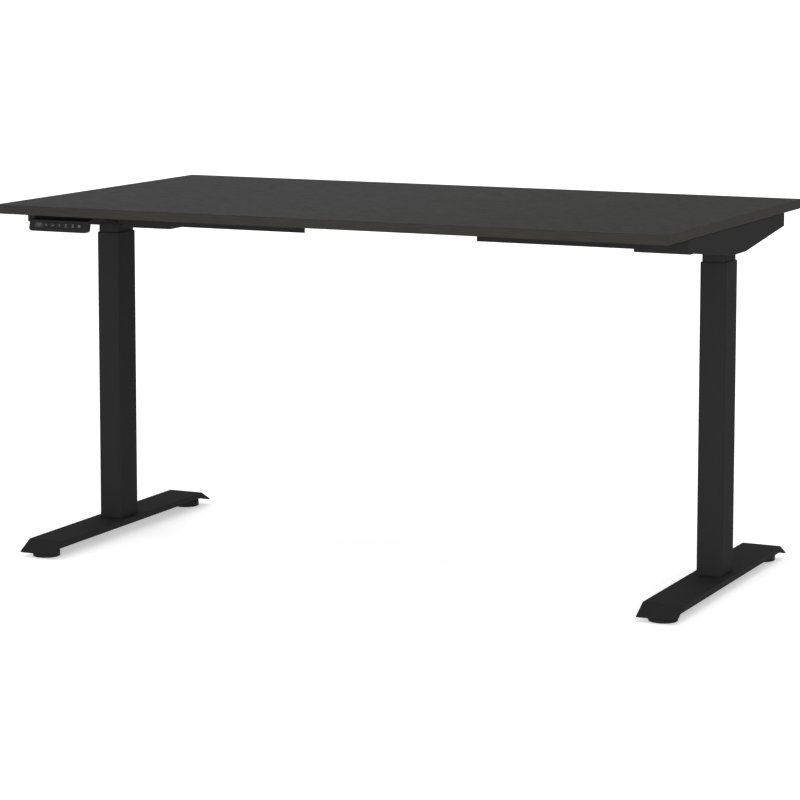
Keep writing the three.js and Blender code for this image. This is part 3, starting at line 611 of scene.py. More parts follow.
# ---- Geometry Nodes: one tree for each way of repeating or following ----
def new_tree(name, sockets):
    """A geometry tree with its inputs named, its group input and output nodes, and a Material input."""
    tree = bpy.data.node_groups.new(name, "GeometryNodeTree")
    tree.interface.new_socket("Geometry", in_out="OUTPUT", socket_type="NodeSocketGeometry")
    tree.interface.new_socket("Geometry", in_out="INPUT", socket_type="NodeSocketGeometry")
    for label, kind in {**sockets, "Material": "NodeSocketMaterial"}.items():
        tree.interface.new_socket(label, in_out="INPUT", socket_type=kind)
    return tree, add_node(tree, "NodeGroupInput").outputs


def end_tree(tree, geometry, given):
    """Makes the tree's instances real, gives them their material and sends them out."""
    real = add_node(tree, "GeometryNodeRealizeInstances", {"Geometry": geometry})
    painted = add_node(tree, "GeometryNodeSetMaterial", {
        "Geometry": real.outputs[0], "Material": given["Material"]})
    add_node(tree, "NodeGroupOutput", {"Geometry": painted.outputs[0]})
    return tree


def fixings_tree():
    """One fixing at each vertex, its Z turned to the vertex's facing and its X to its along."""
    tree, given = new_tree("fixings_at_points", {"Fixing": "NodeSocketObject"})
    fixing = add_node(tree, "GeometryNodeObjectInfo", {"Object": given["Fixing"]})
    facing, along = (
        add_node(tree, "GeometryNodeInputNamedAttribute", {"Name": label}, data_type="FLOAT_VECTOR")
        for label in ("facing", "along"))
    stood = add_node(tree, "FunctionNodeAlignRotationToVector", {"Vector": facing.outputs[0]}, axis="Z")
    turned_to = add_node(tree, "FunctionNodeAlignRotationToVector", {
        "Rotation": stood.outputs[0], "Vector": along.outputs[0]}, axis="X", pivot_axis="Z")
    copies = add_node(tree, "GeometryNodeInstanceOnPoints", {
        "Points": given["Geometry"], "Instance": fixing.outputs["Geometry"],
        "Rotation": turned_to.outputs[0]})
    return end_tree(tree, copies.outputs[0], given)


def row_tree():
    """A straight row: Count copies of a rib, each one Step from the last, starting at First."""
    tree, given = new_tree("row_of_ribs", {
        "Rib": "NodeSocketObject", "Count": "NodeSocketInt", "First": "NodeSocketVector",
        "Step": "NodeSocketVector"})
    rib = add_node(tree, "GeometryNodeObjectInfo", {"Object": given["Rib"]})
    line = add_node(tree, "GeometryNodeMeshLine", {
        "Count": given["Count"], "Start Location": given["First"], "Offset": given["Step"]}, mode="OFFSET")
    copies = add_node(tree, "GeometryNodeInstanceOnPoints", {
        "Points": line.outputs[0], "Instance": rib.outputs["Geometry"]})
    return end_tree(tree, copies.outputs[0], given)


def circle_tree():
    """A ring of grips: Count copies round a circle of the given Radius about Middle, each facing out."""
    tree, given = new_tree("ring_of_grips", {
        "Grip": "NodeSocketObject", "Count": "NodeSocketInt", "Radius": "NodeSocketFloat",
        "Middle": "NodeSocketVector"})
    grip = add_node(tree, "GeometryNodeObjectInfo", {"Object": given["Grip"]})
    circle = add_node(tree, "GeometryNodeMeshCircle", {
        "Vertices": given["Count"], "Radius": given["Radius"]})
    outwards = add_node(tree, "GeometryNodeInputPosition")
    turned_out = add_node(tree, "FunctionNodeAlignRotationToVector", {
        "Vector": outwards.outputs[0]}, axis="X")
    copies = add_node(tree, "GeometryNodeInstanceOnPoints", {
        "Points": circle.outputs[0], "Instance": grip.outputs["Geometry"],
        "Rotation": turned_out.outputs[0]})
    placed = add_node(tree, "GeometryNodeTransform", {
        "Geometry": copies.outputs[0], "Translation": given["Middle"]})
    return end_tree(tree, placed.outputs[0], given)


def cable_tree():
    """A round cable of the given Radius along a path, with closed ends."""
    tree, given = new_tree("round_cable", {"Radius": "NodeSocketFloat", "Sides": "NodeSocketInt"})
    path = add_node(tree, "GeometryNodeMeshToCurve", {"Mesh": given["Geometry"]})
    section = add_node(tree, "GeometryNodeCurvePrimitiveCircle", {
        "Resolution": given["Sides"], "Radius": given["Radius"]})
    tube = add_node(tree, "GeometryNodeCurveToMesh", {
        "Curve": path.outputs[0], "Profile Curve": section.outputs[0], "Fill Caps": True})
    return end_tree(tree, tube.outputs[0], given)


def stroke_tree():
    """Printed strokes of the given Width and Thickness along flat paths."""
    tree, given = new_tree("printed_strokes", {"Width": "NodeSocketFloat", "Thickness": "NodeSocketFloat"})
    path = add_node(tree, "GeometryNodeMeshToCurve", {"Mesh": given["Geometry"]})
    upright = add_node(tree, "GeometryNodeSetCurveNormal", {"Curve": path.outputs[0]}, mode="Z_UP")
    section = add_node(tree, "GeometryNodeCurvePrimitiveQuadrilateral", {
        "Width": given["Width"], "Height": given["Thickness"]})
    stroke = add_node(tree, "GeometryNodeCurveToMesh", {
        "Curve": upright.outputs[0], "Profile Curve": section.outputs[0], "Fill Caps": True})
    return end_tree(tree, stroke.outputs[0], given)


def thread_tree():
    """A screw thread: a ridge of the given Ridge radius wound round a core of the given Radius."""
    tree, given = new_tree("wound_thread", {
        "Radius": "NodeSocketFloat", "Turns": "NodeSocketFloat", "Length": "NodeSocketFloat",
        "Ridge": "NodeSocketFloat", "Foot": "NodeSocketVector"})
    helix = add_node(tree, "GeometryNodeCurveSpiral", {
        "Resolution": 20, "Rotations": given["Turns"], "Start Radius": given["Radius"],
        "End Radius": given["Radius"], "Height": given["Length"]})
    placed = add_node(tree, "GeometryNodeTransform", {
        "Geometry": helix.outputs[0], "Translation": given["Foot"]})
    section = add_node(tree, "GeometryNodeCurvePrimitiveCircle", {
        "Resolution": 6, "Radius": given["Ridge"]})
    ridge = add_node(tree, "GeometryNodeCurveToMesh", {
        "Curve": placed.outputs[0], "Profile Curve": section.outputs[0], "Fill Caps": True})
    return end_tree(tree, ridge.outputs[0], given)


FIXINGS = fixings_tree()
ROW = row_tree()
RING = circle_tree()
CABLE = cable_tree()
STROKES = stroke_tree()
THREAD = thread_tree()


def grown(name, mesh, tree, material, **values):
    """Runs a tree on a mesh, or on none, and keeps the result as a plain, smooth-shaded mesh."""
    made = object_of(name, mesh or bpy.data.meshes.new(name))
    steps = made.modifiers.new("grown", "NODES")
    steps.node_group = tree
    wanted = {**{label.replace("_", " "): value for label, value in values.items()}, "Material": material}
    for socket in tree.interface.items_tree:
        if socket.item_type == "SOCKET" and socket.in_out == "INPUT" and socket.name in wanted:
            steps[socket.identifier] = wanted[socket.name]
    made.update_tag()
    baked(made)
    made.data.shade_smooth()
    made.data.set_sharp_from_angle(angle=SHARP)
    return made


def marked_points(name, places):
    """A mesh of loose points, each with its facing and along directions."""
    mesh = bpy.data.meshes.new(name)
    mesh.from_pydata([place for place, _, _ in places], [], [])
    for label, index in (("facing", 1), ("along", 2)):
        held = mesh.attributes.new(label, "FLOAT_VECTOR", "POINT")
        for entry, place in zip(held.data, places):
            entry.vector = place[index]
    return mesh


def path_mesh(name, paths):
    """A mesh of edges through each list of points; a path whose ends meet is closed."""
    mesh = bpy.data.meshes.new(name)
    points, edges = [], []
    for path in paths:
        first = len(points)
        closed = (Vector(path[0]) - Vector(path[-1])).length < 1e-7
        own = path[:-1] if closed else path
        points.extend(own)
        edges.extend((first + index, first + index + 1) for index in range(len(own) - 1))
        if closed:
            edges.append((first + len(own) - 1, first))
    mesh.from_pydata(points, edges, [])
    return mesh


def fixed(name, fixing, places, finish, body="lifting_frame", *stands_for):
    """One piece of all the fixings of a kind on a body, each at its (place, facing, along)."""
    made = grown(name, marked_points("places", places), FIXINGS, FINISHES[finish], Fixing=fixing)
    belongs(made, finish, body, *stands_for)


PATTERNS = []


def pattern_object(name, bm):
    """A shape that the trees copy. It is removed once everything is grown."""
    made = smoothed(name, bm)
    PATTERNS.append(made)
    return made


# ---- Fixings: (radius, height, shape) sections that follow the real ones ----
def pan_head_screw():
    """The head of a wood screw with a cross recess: its seat at Z 0."""
    return turned([
        (0, 0), (4.1 * MM, 0), (4.2 * MM, 0.5 * MM), (3.9 * MM, 1.5 * MM), (3.1 * MM, 2.2 * MM),
        (2.2 * MM, 2.5 * MM, "cross"), (1.5 * MM, 1.2 * MM, "cross"), (0, 0.9 * MM)], steps=SMALL_STEPS)


def socket_cap_screw():
    """The head and shank of a foot bolt with a hexagon socket: the head's seat at Z 0, its shank below."""
    return turned([
        (0, -11 * MM), (3.7 * MM, -11 * MM), (4 * MM, -10.6 * MM), (4 * MM, 0), (6.3 * MM, 0),
        (6.5 * MM, 0.2 * MM), (6.5 * MM, 3.9 * MM), (6.1 * MM, 4.3 * MM), (3.4 * MM, 4.3 * MM),
        (3 * MM, 4.0 * MM, "hex"), (3 * MM, 1.4 * MM, "hex"), (0, 1.1 * MM)], steps=SMALL_STEPS)


def hexagon_bolt():
    """The head of a clamp bolt on its washer: the washer's seat at Z 0."""
    return turned([
        (0, 0), (6.2 * MM, 0), (6.4 * MM, 0.2 * MM), (6.4 * MM, 1 * MM), (6.2 * MM, 1.2 * MM),
        (5.4 * MM, 1.2 * MM), (5.6 * MM, 1.25 * MM, "hex"), (5.6 * MM, 4.3 * MM, "hex"),
        (4.6 * MM, 4.9 * MM), (0, 4.9 * MM)], steps=SMALL_STEPS)


def softened(radius, top, steps=3):
    """(inset, height) points that round off an upright side as it meets its flat top."""
    turns = [math.radians(90) * step / steps for step in range(steps + 1)]
    return [(radius * (1 - math.cos(turn)), top - radius * (1 - math.sin(turn))) for turn in turns]


def rounded_bar(length, width, height):
    """A small bar with round ends and softened top, its base at Z 0, its length along X."""
    profile = [(0, 0)] + softened(0.35 * min(width, height), height)
    return carried_round(length, width, 0.49 * width, (0, 0), profile, closed=False)


def cable_clip():
    """A nylon clip nailed up beside a cable along X: its saddle hangs from Z 0 down round the cable."""
    inner = CABLE_RADIUS + 0.25 * MM
    outer = CABLE_RADIUS + 1.5 * MM
    lip = 0.2 * MM
    tab_reach = outer + 6 * MM
    tab_thickness = 2 * MM
    arc = [math.radians(180) * step / 10 for step in range(11)]
    outside = [(outer * math.cos(turn), -CABLE_DROP - outer * math.sin(turn)) for turn in arc]
    inside = [(inner * math.cos(turn), -CABLE_DROP - inner * math.sin(turn)) for turn in reversed(arc)]
    tab = [(-outer, -tab_thickness), (-tab_reach, -tab_thickness), (-tab_reach, 0), (-inner, 0)]
    outline = [(outer, -lip)] + outside + tab + inside + [(inner, -lip)]
    bm = bmesh.new()
    ends = [[bm.verts.new((x, y, z)) for y, z in outline] for x in (-CLIP_WIDTH / 2, CLIP_WIDTH / 2)]
    skin(bm, *ends)
    bm.faces.new(ends[0])
    bm.faces.new(ends[1])
    bmesh.ops.recalc_face_normals(bm, faces=bm.faces)
    return bm


# ---- The board ----
def board():
    """The laminated board, its faces a hair's arris short of the banding round it."""
    low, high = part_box("desktop")
    outer_low, outer_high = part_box("edge_band")
    inset = BAND_THICKNESS + GLUE_LINE
    width = outer_high.x - outer_low.x - 2 * inset
    depth = outer_high.y - outer_low.y - 2 * inset
    round_low = quarter_round(BOARD_ARRIS, low.z + BOARD_ARRIS, BOARD_ARRIS, math.radians(180))[::-1]
    round_high = quarter_round(BOARD_ARRIS, high.z - BOARD_ARRIS, BOARD_ARRIS, math.radians(90))[::-1]
    shape = carried_round(width, depth, BOARD_CORNER, (0, 0), round_low + round_high, closed=False)
    belongs(smoothed("board", shape), "desktop_laminate", "lifting_frame", "desktop")


def edge_band():
    """The banding glued round the board as one loop, scraped round along both edges."""
    low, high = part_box("edge_band")
    lower = quarter_round(BAND_ROUND, low.z + BAND_ROUND, BAND_ROUND, math.radians(180))[::-1]
    upper = quarter_round(BAND_ROUND, high.z - BAND_ROUND, BAND_ROUND, math.radians(90))[::-1]
    inner = [(BAND_THICKNESS, high.z - 0.1 * MM), (BAND_THICKNESS, low.z + 0.1 * MM)]
    shape = carried_round(high.x - low.x, high.y - low.y, BAND_CORNER, (0, 0), lower + upper + inner)
    belongs(smoothed("edge_banding", shape), "edge_banding", "lifting_frame", "edge_band")


# ---- Columns and feet ----
def wall_profile(wall, low, high):
    """A tube's wall in (inset, height), its four cut edges bevelled by the deburring."""
    return [
        (0, low + DEBURRED), (0, high - DEBURRED), (DEBURRED, high), (wall - DEBURRED, high),
        (wall, high - DEBURRED), (wall, low + DEBURRED), (wall - DEBURRED, low), (DEBURRED, low)]


def tube(name, node, corner, body):
    """A powder coated column: a rectangular tube with round corners."""
    low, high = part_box(node)
    profile = wall_profile(TUBE_WALL, low.z, high.z)
    shape = carried_round(high.x - low.x, high.y - low.y, corner, (low + high) / 2, profile)
    belongs(smoothed(name, shape), "powder_coat", body, node)


def guide_collar(side):
    """The moulded collar in the outer column's mouth, with its lip lying over the rim."""
    low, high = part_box(f"{side}_guide_collar")
    inner_low, inner_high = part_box(f"{side}_inner_column")
    column_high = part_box(f"{side}_outer_column")[1]
    rim = column_high.z + COLLAR_CLEARANCE
    lip = ((high.x - low.x) - (inner_high.x - inner_low.x)) / 2 - COLLAR_CLEARANCE
    body_inset = TUBE_WALL + COLLAR_CLEARANCE - (column_high.x - high.x)
    profile = [
        (body_inset, low.z), (body_inset, rim), (0, rim), (0, high.z - 0.6 * MM), (0.6 * MM, high.z),
        (lip - 0.3 * MM, high.z), (lip, high.z - 0.3 * MM), (lip, low.z)]
    corner = TUBE_CORNER - 0.6 * MM
    shape = carried_round(high.x - low.x, high.y - low.y, corner, (low + high) / 2, profile)
    collar = smoothed(f"{side}_column_collar", shape)
    belongs(collar, "black_plastic", f"{side}_base", f"{side}_guide_collar")


def rim_grip():
    """A rib that stands upright on a glide's rim, facing +X."""
    rib = rounded_bar(7 * MM, 1.5 * MM, 0.5 * MM)
    bmesh.ops.rotate(rib, verts=rib.verts, matrix=Matrix.Rotation(math.radians(90), 3, "Y"))
    return rib


def glide(side, end, grip):
    """A levelling glide: a moulded pad with a gripped rim, a hexagon nut and a threaded stud."""
    node = f"{side}_glide_{end}"
    low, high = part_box(node)
    middle = (low + high) / 2
    radius = (high.x - low.x) / 2
    upturned = reversed(softened(GLIDE_SOLE_ROUND, 0, steps=4))
    sole = [(radius - inset, -height) for inset, height in upturned]
    hollow = [(0, 0.6 * MM), (radius - 7 * MM, 0.6 * MM), (radius - 6 * MM, 0)]
    dome = [
        (radius, GLIDE_RIM - 0.9 * MM), (radius - 0.9 * MM, GLIDE_RIM), (23.6 * MM, GLIDE_DOME - 0.4 * MM),
        (23 * MM, GLIDE_DOME), (10 * MM, GLIDE_DOME), (0, GLIDE_DOME)]
    pad = turned(hollow + sole + dome, middle, steps=64)
    belongs(smoothed(f"{node}_pad", pad), "black_plastic", node, node)

    grips = grown(f"{node}_grips", None, RING, FINISHES["black_plastic"],
                  Grip=grip, Count=GLIDE_GRIPS, Radius=radius - 0.55 * MM,
                  Middle=(middle.x, middle.y, 6.2 * MM))
    belongs(grips, "black_plastic", node)

    nut_top = GLIDE_DOME + GLIDE_NUT
    nut = turned([
        (0, GLIDE_DOME), (7.6 * MM, GLIDE_DOME), (8.6 * MM, GLIDE_DOME + 0.5 * MM, "hex"),
        (8.6 * MM, nut_top - 0.4 * MM, "hex"), (7.6 * MM, nut_top), (STUD_CORE, nut_top + 0.05 * MM),
        (STUD_CORE, high.z - 0.6 * MM), (STUD_CORE - 0.5 * MM, high.z), (0, high.z)], middle)
    belongs(smoothed(f"{node}_nut", nut), "zinc_steel", node)

    length = high.z - nut_top - 1.5 * MM
    thread = grown(f"{node}_thread", None, THREAD, FINISHES["zinc_steel"],
                   Radius=STUD_CORE, Turns=length / STUD_PITCH, Length=length, Ridge=0.45 * MM,
                   Foot=(middle.x, middle.y, nut_top + 0.8 * MM))
    belongs(thread, "zinc_steel", node)


def foot_bolts(side, bolt):
    """The two bolts up through the foot into the column's base plate."""
    nodes = [f"{side}_foot_bolt_front", f"{side}_foot_bolt_rear"]
    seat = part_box(f"{side}_foot")[1].z - FOOT_SHEET - 0.3 * MM
    places = []
    for node in nodes:
        low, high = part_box(node)
        middle = (low + high) / 2
        places.append(((middle.x, middle.y, seat), DOWN, ALONG_DESK))
    fixed(f"{side}_foot_bolts", bolt, places, "zinc_steel", f"{side}_base", *nodes)


def lifting_screw(side):
    """The lifting screw: a core with its thread wound round it, and a plain neck at the top."""
    node = f"{side}_spindle"
    low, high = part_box(node)
    middle = (low + high) / 2
    neck_foot = high.z - 20 * MM
    bar = turned([
        (0, low.z), (SCREW_CORE - 0.8 * MM, low.z), (SCREW_CORE, low.z + 0.8 * MM),
        (SCREW_CORE, neck_foot), (SCREW_NECK, neck_foot + 1 * MM), (SCREW_NECK, high.z - 0.5 * MM),
        (SCREW_NECK - 0.5 * MM, high.z), (0, high.z)], middle)
    belongs(smoothed(f"{side}_lifting_screw", bar), "bright_steel", f"{side}_spindle_set", node)
    length = high.z - low.z - 40 * MM
    thread = grown(f"{side}_lifting_thread", None, THREAD, FINISHES["bright_steel"],
                   Radius=SCREW_CORE, Turns=length / SCREW_PITCH, Length=length, Ridge=1.05 * MM,
                   Foot=(middle.x, middle.y, low.z + 4 * MM))
    belongs(thread, "bright_steel", f"{side}_spindle_set")


# ---- Arms, rails and covers ----
def screws_under(arm):
    """Where four pairs of wood screws go up through an arm's web into the board."""
    low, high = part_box(arm)
    middle = (low + high) / 2
    web = high.z - ARM_SHEET
    return [
        ((middle.x + offset, middle.y + share * (high.y - middle.y), web), DOWN, ALONG_DESK)
        for share in (-0.88, -0.5, 0.5, 0.88) for offset in (-ARM_SCREW_OFFSET, ARM_SCREW_OFFSET)]


def clamps_on(rail):
    """Where the clamp bolts go through a side rail's two flanges, near both ends of its overlap."""
    low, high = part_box(rail)
    centre_low, centre_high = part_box("centre_rail")
    toward = 1 if low.x > 0 else -1
    level = centre_low.z + 14 * MM
    inner_end = min(abs(low.x), abs(high.x))
    return [
        ((toward * x, y, level), (0, face, 0), ALONG_DESK)
        for x in (inner_end + CLAMP_INSET, centre_high.x - CLAMP_INSET)
        for face, y in ((-1, low.y), (1, high.y))]


def rails(screw, clamp):
    """The folded arms and rails, the screws up into the board and the bolts that clamp the rails."""
    folded_centre = folded_sheet("centre_rail_folded", "centre_rail", RAIL_SHEET)
    belongs(folded_centre, "powder_coat", "lifting_frame", "centre_rail")
    under_arms = []
    clamps = []
    for side in SIDES:
        arm = f"{side}_side_arm"
        folded_arm = folded_sheet(f"{side}_arm_folded", arm, ARM_SHEET)
        belongs(folded_arm, "powder_coat", "lifting_frame", arm)
        under_arms += screws_under(arm)
        rail = f"{side}_side_rail"
        folded_rail = folded_sheet(f"{side}_rail_folded", rail, RAIL_SHEET)
        belongs(folded_rail, "powder_coat", "lifting_frame", rail)
        clamps += clamps_on(rail)
    fixed("arm_screws", screw, under_arms, "zinc_steel")
    fixed("rail_clamp_bolts", clamp, clamps, "zinc_steel")


def cooling_ribs(name, rib, node, count, step):
    """A row of ribs along X, centred under a cover or case and sunk a little into it."""
    low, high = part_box(node)
    middle = (low + high) / 2
    first = (middle.x - step * (count - 1) / 2, middle.y, low.z + 0.2 * MM)
    ribs = grown(name, None, ROW, FINISHES["black_plastic"],
                 Rib=rib, Count=count, First=first, Step=(step, 0, 0))
    belongs(ribs, "black_plastic", "lifting_frame")


def motor_cover(side, rib):
    """The moulded cover over a motor, with a row of cooling ribs on its floor."""
    node = f"{side}_motor_cover"
    cover = moulded_shell(f"{side}_motor_cover_moulded", node, COVER_ROUND, MOULDED_WALL)
    belongs(cover, "black_plastic", "lifting_frame", node)
    cooling_ribs(f"{side}_motor_cover_ribs", rib, node, 9, 8 * MM)


# ---- Control box ----
def control_box(screw, rib):
    """The case with its ribs, the steel base plate with its four screws, and the mains inlet."""
    low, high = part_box("control_box_case")
    case = moulded_shell("control_box_moulded", "control_box_case", CASE_ROUND, MOULDED_WALL)
    belongs(case, "black_plastic", "lifting_frame", "control_box_case")
    lid_low, lid_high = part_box("control_box_lid")
    profile = [(0.3 * MM, lid_low.z), (0, lid_low.z + 0.3 * MM), (0, lid_high.z)]
    lid = carried_round(lid_high.x - lid_low.x, lid_high.y - lid_low.y, 3 * MM, (lid_low + lid_high) / 2,
                        profile, closed=False)
    belongs(smoothed("control_box_base_plate", lid), "zinc_steel", "lifting_frame", "control_box_lid")
    inlet = moulded_shell("mains_inlet_socket", "mains_inlet", INLET_ROUND, MOULDED_WALL)
    belongs(inlet, "grey_plastic", "lifting_frame", "mains_inlet")
    corners = [
        ((x, y, low.z + 2.3 * MM), DOWN, ALONG_DESK)
        for x in (low.x + 8 * MM, high.x - 8 * MM) for y in (low.y + 8 * MM, high.y - 8 * MM)]
    fixed("control_box_screws", screw, corners, "zinc_steel")
    cooling_ribs("control_box_ribs", rib, "control_box_case", 15, 9 * MM)


# ---- Handset ----
face_out = -next(Vector(joint["axis"]) for joint in frame["joints"] if joint["name"] == "key_up_press")
face_up = face_out.cross(Vector(ALONG_DESK))


def on_face(point):
    """The matrix that lays (across, up, out) on the handset's sloping face at a point."""
    turn = Matrix((Vector(ALONG_DESK), face_up, face_out)).transposed()
    return Matrix.Translation(point) @ turn.to_4x4()


def arc_path(radius, start, sweep, steps=16):
    """Points round an arc, start and sweep in degrees."""
    turns = [math.radians(start + sweep * step / steps) for step in range(steps + 1)]
    return [(radius * math.cos(turn), radius * math.sin(turn), 0) for turn in turns]


def strokes_of(mark, size):
    """The strokes of a generic mark, about size across: an arrow, a figure or the store ring."""
    half, tall = 0.32 * size, 0.5 * size
    tip, tail = 0.3 * size, -0.22 * size
    paths = {
        "up": [[(-tall, tail, 0), (0, tip, 0), (tall, tail, 0)]],
        "down": [[(-tall, -tail, 0), (0, -tip, 0), (tall, -tail, 0)]],
        "1": [[(-0.6 * half, 0.6 * tall, 0), (0.2 * half, tall, 0), (0.2 * half, -tall, 0)]],
        "2": [[(-half, tall, 0), (half, tall, 0), (half, 0, 0), (-half, 0, 0), (-half, -tall, 0),
               (half, -tall, 0)]],
        "3": [[(-half, tall, 0), (half, tall, 0), (half, -tall, 0), (-half, -tall, 0)],
              [(-0.5 * half, 0, 0), (half, 0, 0)]],
        "7": [[(-half, tall, 0), (half, tall, 0), (half, -tall, 0)]],
        "store": [arc_path(0.42 * size, 0, 360), arc_path(0.1 * size, 0, 360, 8)],
    }
    return paths[mark]


def printed(name, mark, point, size, body, width=0.9 * MM):
    """A mark printed on a key or the display, its strokes a hair above the surface."""
    made = grown(name, path_mesh(name, strokes_of(mark, size)), STROKES, INK,
                 Width=width, Thickness=2 * MARK_PROUD)
    made.data.transform(on_face(point))
    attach(made, body)


def key_cap(name, mark):
    """A key cap with a dished face and its mark."""
    low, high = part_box(name)
    middle = (low + high) / 2
    half = KEY_LENGTH / 2
    dish = [(1.2 * MM, half - 0.06 * MM), (3 * MM, half - 0.16 * MM)]
    shape = carried_round(high.x - low.x, KEY_HEIGHT, 1.3 * MM, (0, 0),
                          [(0, -half)] + softened(0.45 * MM, half) + dish, closed=False)
    shape.transform(on_face(middle))
    belongs(smoothed(f"{name}_cap", shape), "key_plastic", name, name)
    printed(f"{name}_mark", mark, middle + face_out * (half - 0.13 * MM + MARK_PROUD), 5.2 * MM, name)


def height_display(face_point):
    """The window at the left of the keys, with the two figures of a height in it."""
    profile = [(0, -0.6 * MM), (0, 0.12 * MM), (0.15 * MM, WINDOW_PROUD)]
    pane = carried_round(18 * MM, 9 * MM, 1 * MM, (0, 0), profile, closed=False)
    pane.transform(on_face(face_point))
    window = smoothed("height_window", pane)
    window.data.materials.append(WINDOW)
    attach(window, "lifting_frame")
    for figure, across in (("7", -2.4 * MM), ("2", 2.4 * MM)):
        spot = face_point + Vector((across, 0, 0)) + face_out * (WINDOW_PROUD + 0.5 * MARK_PROUD)
        printed(f"height_digit_{figure}", figure, spot, 5 * MM, "lifting_frame", width=0.6 * MM)


def handset():
    """The moulded case with its six keys and the height display."""
    bm = whole_copy("handset_case")
    wide = 4 * MM
    rounded_edges(bm, turned_edges(bm, True, True, wide, 12 * MM), HANDSET_ROUND, 4)
    rounded_edges(bm, turned_edges(bm, False, None, wide, LEAST_RIM), 0.3 * MM, RIM_STEPS)
    belongs(smoothed("handset_moulded", flats_split(bm)), "grey_plastic", "lifting_frame", "handset_case")
    marks = {"key_up": "up", "key_down": "down", "key_memory_1": "1", "key_memory_2": "2",
             "key_memory_3": "3", "key_store": "store"}
    for name, mark in marks.items():
        key_cap(name, mark)
    low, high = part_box("key_up")
    face_point = (low + high) / 2 + face_out * (KEY_LENGTH / 2 - KEY_RISE)
    face_point.x -= WINDOW_FROM_KEY
    height_display(face_point)


# ---- Cables ----
def between(first, second, start, end, at):
    """The point that lies on the way from first to second as at lies from start to end."""
    return first + (second - first) * (at - start) / (end - start)


def smooth_path(points, spacing):
    """A centripetal Catmull-Rom curve through the points, sampled about every spacing."""
    points = [Vector(point) for point in points]
    points = [2 * points[0] - points[1]] + points + [2 * points[-1] - points[-2]]
    path = []
    for corners in zip(points, points[1:], points[2:], points[3:]):
        knots = [0]
        for first, second in zip(corners, corners[1:]):
            knots.append(knots[-1] + math.sqrt((second - first).length))
        count = max(2, round((corners[2] - corners[1]).length / spacing))
        for step in range(count):
            at = knots[1] + (knots[2] - knots[1]) * step / count
            sides = [between(corners[i], corners[i + 1], knots[i], knots[i + 1], at) for i in range(3)]
            halves = [between(sides[i], sides[i + 1], knots[i], knots[i + 2], at) for i in range(2)]
            path.append(between(*halves, knots[1], knots[2], at))
    return path + [points[-2]]


def motor_cable_route(side):
    """From the motor's end through its cover and the rail's slot to the control box."""
    toward = 1 if side == "left" else -1
    shaft_low, shaft_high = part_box(f"{side}_worm_shaft")
    cover_low, cover_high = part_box(f"{side}_motor_cover")
    case_low, case_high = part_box("control_box_case")
    wire_low, wire_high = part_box(f"{side}_motor_cable")
    start = abs(wire_low.x if side == "left" else wire_high.x)
    cover_end = abs(cover_high.x if side == "left" else cover_low.x)
    motor_y = (shaft_low.y + shaft_high.y) / 2
    motor_z = (shaft_low.z + shaft_high.z) / 2
    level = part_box("desktop")[0].z - CABLE_DROP
    port = case_low.y + 0.75 * (case_high.y - case_low.y)
    slot_x = CABLE_SLOT + CABLE_SPREAD
    slot_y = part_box(f"{side}_side_rail")[1].y
    box_end = case_high.x
    from_middle = [
        (start, motor_y, motor_z), (cover_end + 4 * MM, motor_y, motor_z),
        (cover_end - 8 * MM, motor_y, motor_z),
        (cover_end - 34 * MM, motor_y + 6 * MM, (motor_z + level) / 2),
        (slot_x + 8 * MM, slot_y - 20 * MM, level - 1 * MM), (slot_x, slot_y, level - 1 * MM),
        (slot_x - 14 * MM, slot_y + 26 * MM, level), ((CABLE_SLOT + box_end) / 2, port + 4 * MM, level),
        (box_end + 20 * MM, port, level), (box_end - CABLE_TAIL, port, level)]
    return [(-toward * x, y, z) for x, y, z in from_middle]


def handset_cable_route():
    """From the handset's back through both flanges of the rail to the control box."""
    case_low, case_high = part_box("control_box_case")
    hand_low, hand_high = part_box("handset_case")
    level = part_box("desktop")[0].z - CABLE_DROP
    start_x = (hand_low.x + hand_high.x) / 2
    back = hand_high.y
    slot_x = CABLE_SPREAD - CABLE_SLOT
    slot_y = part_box("left_side_rail")[1].y
    port = case_low.y + 0.25 * (case_high.y - case_low.y)
    return [
        (start_x, back - CABLE_TAIL + 1 * MM, level), (start_x, back + 20 * MM, level),
        (start_x + 12 * MM, back + 60 * MM, level), ((start_x + slot_x) / 2, (back - slot_y) / 2, level),
        (slot_x - 6 * MM, -slot_y - 40 * MM, level), (slot_x, -slot_y, level), (slot_x, 0, level),
        (slot_x, slot_y, level), (slot_x + 16 * MM, slot_y + 22 * MM, level),
        ((slot_x + case_low.x) / 2, port + 2 * MM, level), (case_low.x - 20 * MM, port, level),
        (case_low.x + CABLE_TAIL, port, level)]


def cables(clip):
    """The three internal cables, and the clips that hold them up at given shares of their length."""
    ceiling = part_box("desktop")[0].z
    clips = []
    routes = {
        "left_motor_cable": (motor_cable_route("left"), (0.80, 0.93)),
        "right_motor_cable": (motor_cable_route("right"), (0.72, 0.93)),
        "handset_cable": (handset_cable_route(), (0.08, 0.22, 0.36, 0.72, 0.94)),
    }
    for node, (points, shares) in routes.items():
        path = smooth_path(points, 6 * MM)
        made = grown(f"{node}_round", path_mesh(node, [path]), CABLE, FINISHES["cable_jacket"],
                     Radius=CABLE_RADIUS, Sides=16)
        belongs(made, "cable_jacket", "lifting_frame", node)
        for share in shares:
            index = round(share * (len(path) - 1))
            along = path[index + 1] - path[index - 1]
            along.z = 0
            clips.append(((path[index].x, path[index].y, ceiling), UP, along.normalized()))
    fixed("cable_clips", clip, clips, "black_plastic")


# ---- Putting the desk together ----
def finish_cad_nodes():
    """Gives every CAD node the finish of its slot, which shows on those that no piece replaces."""
    for entry in frame["record"]["subparts"]:
        node = frame["nodes"][entry["node"]]
        node.data.materials.clear()
        node.data.materials.append(FINISHES[entry["material_slot"]])


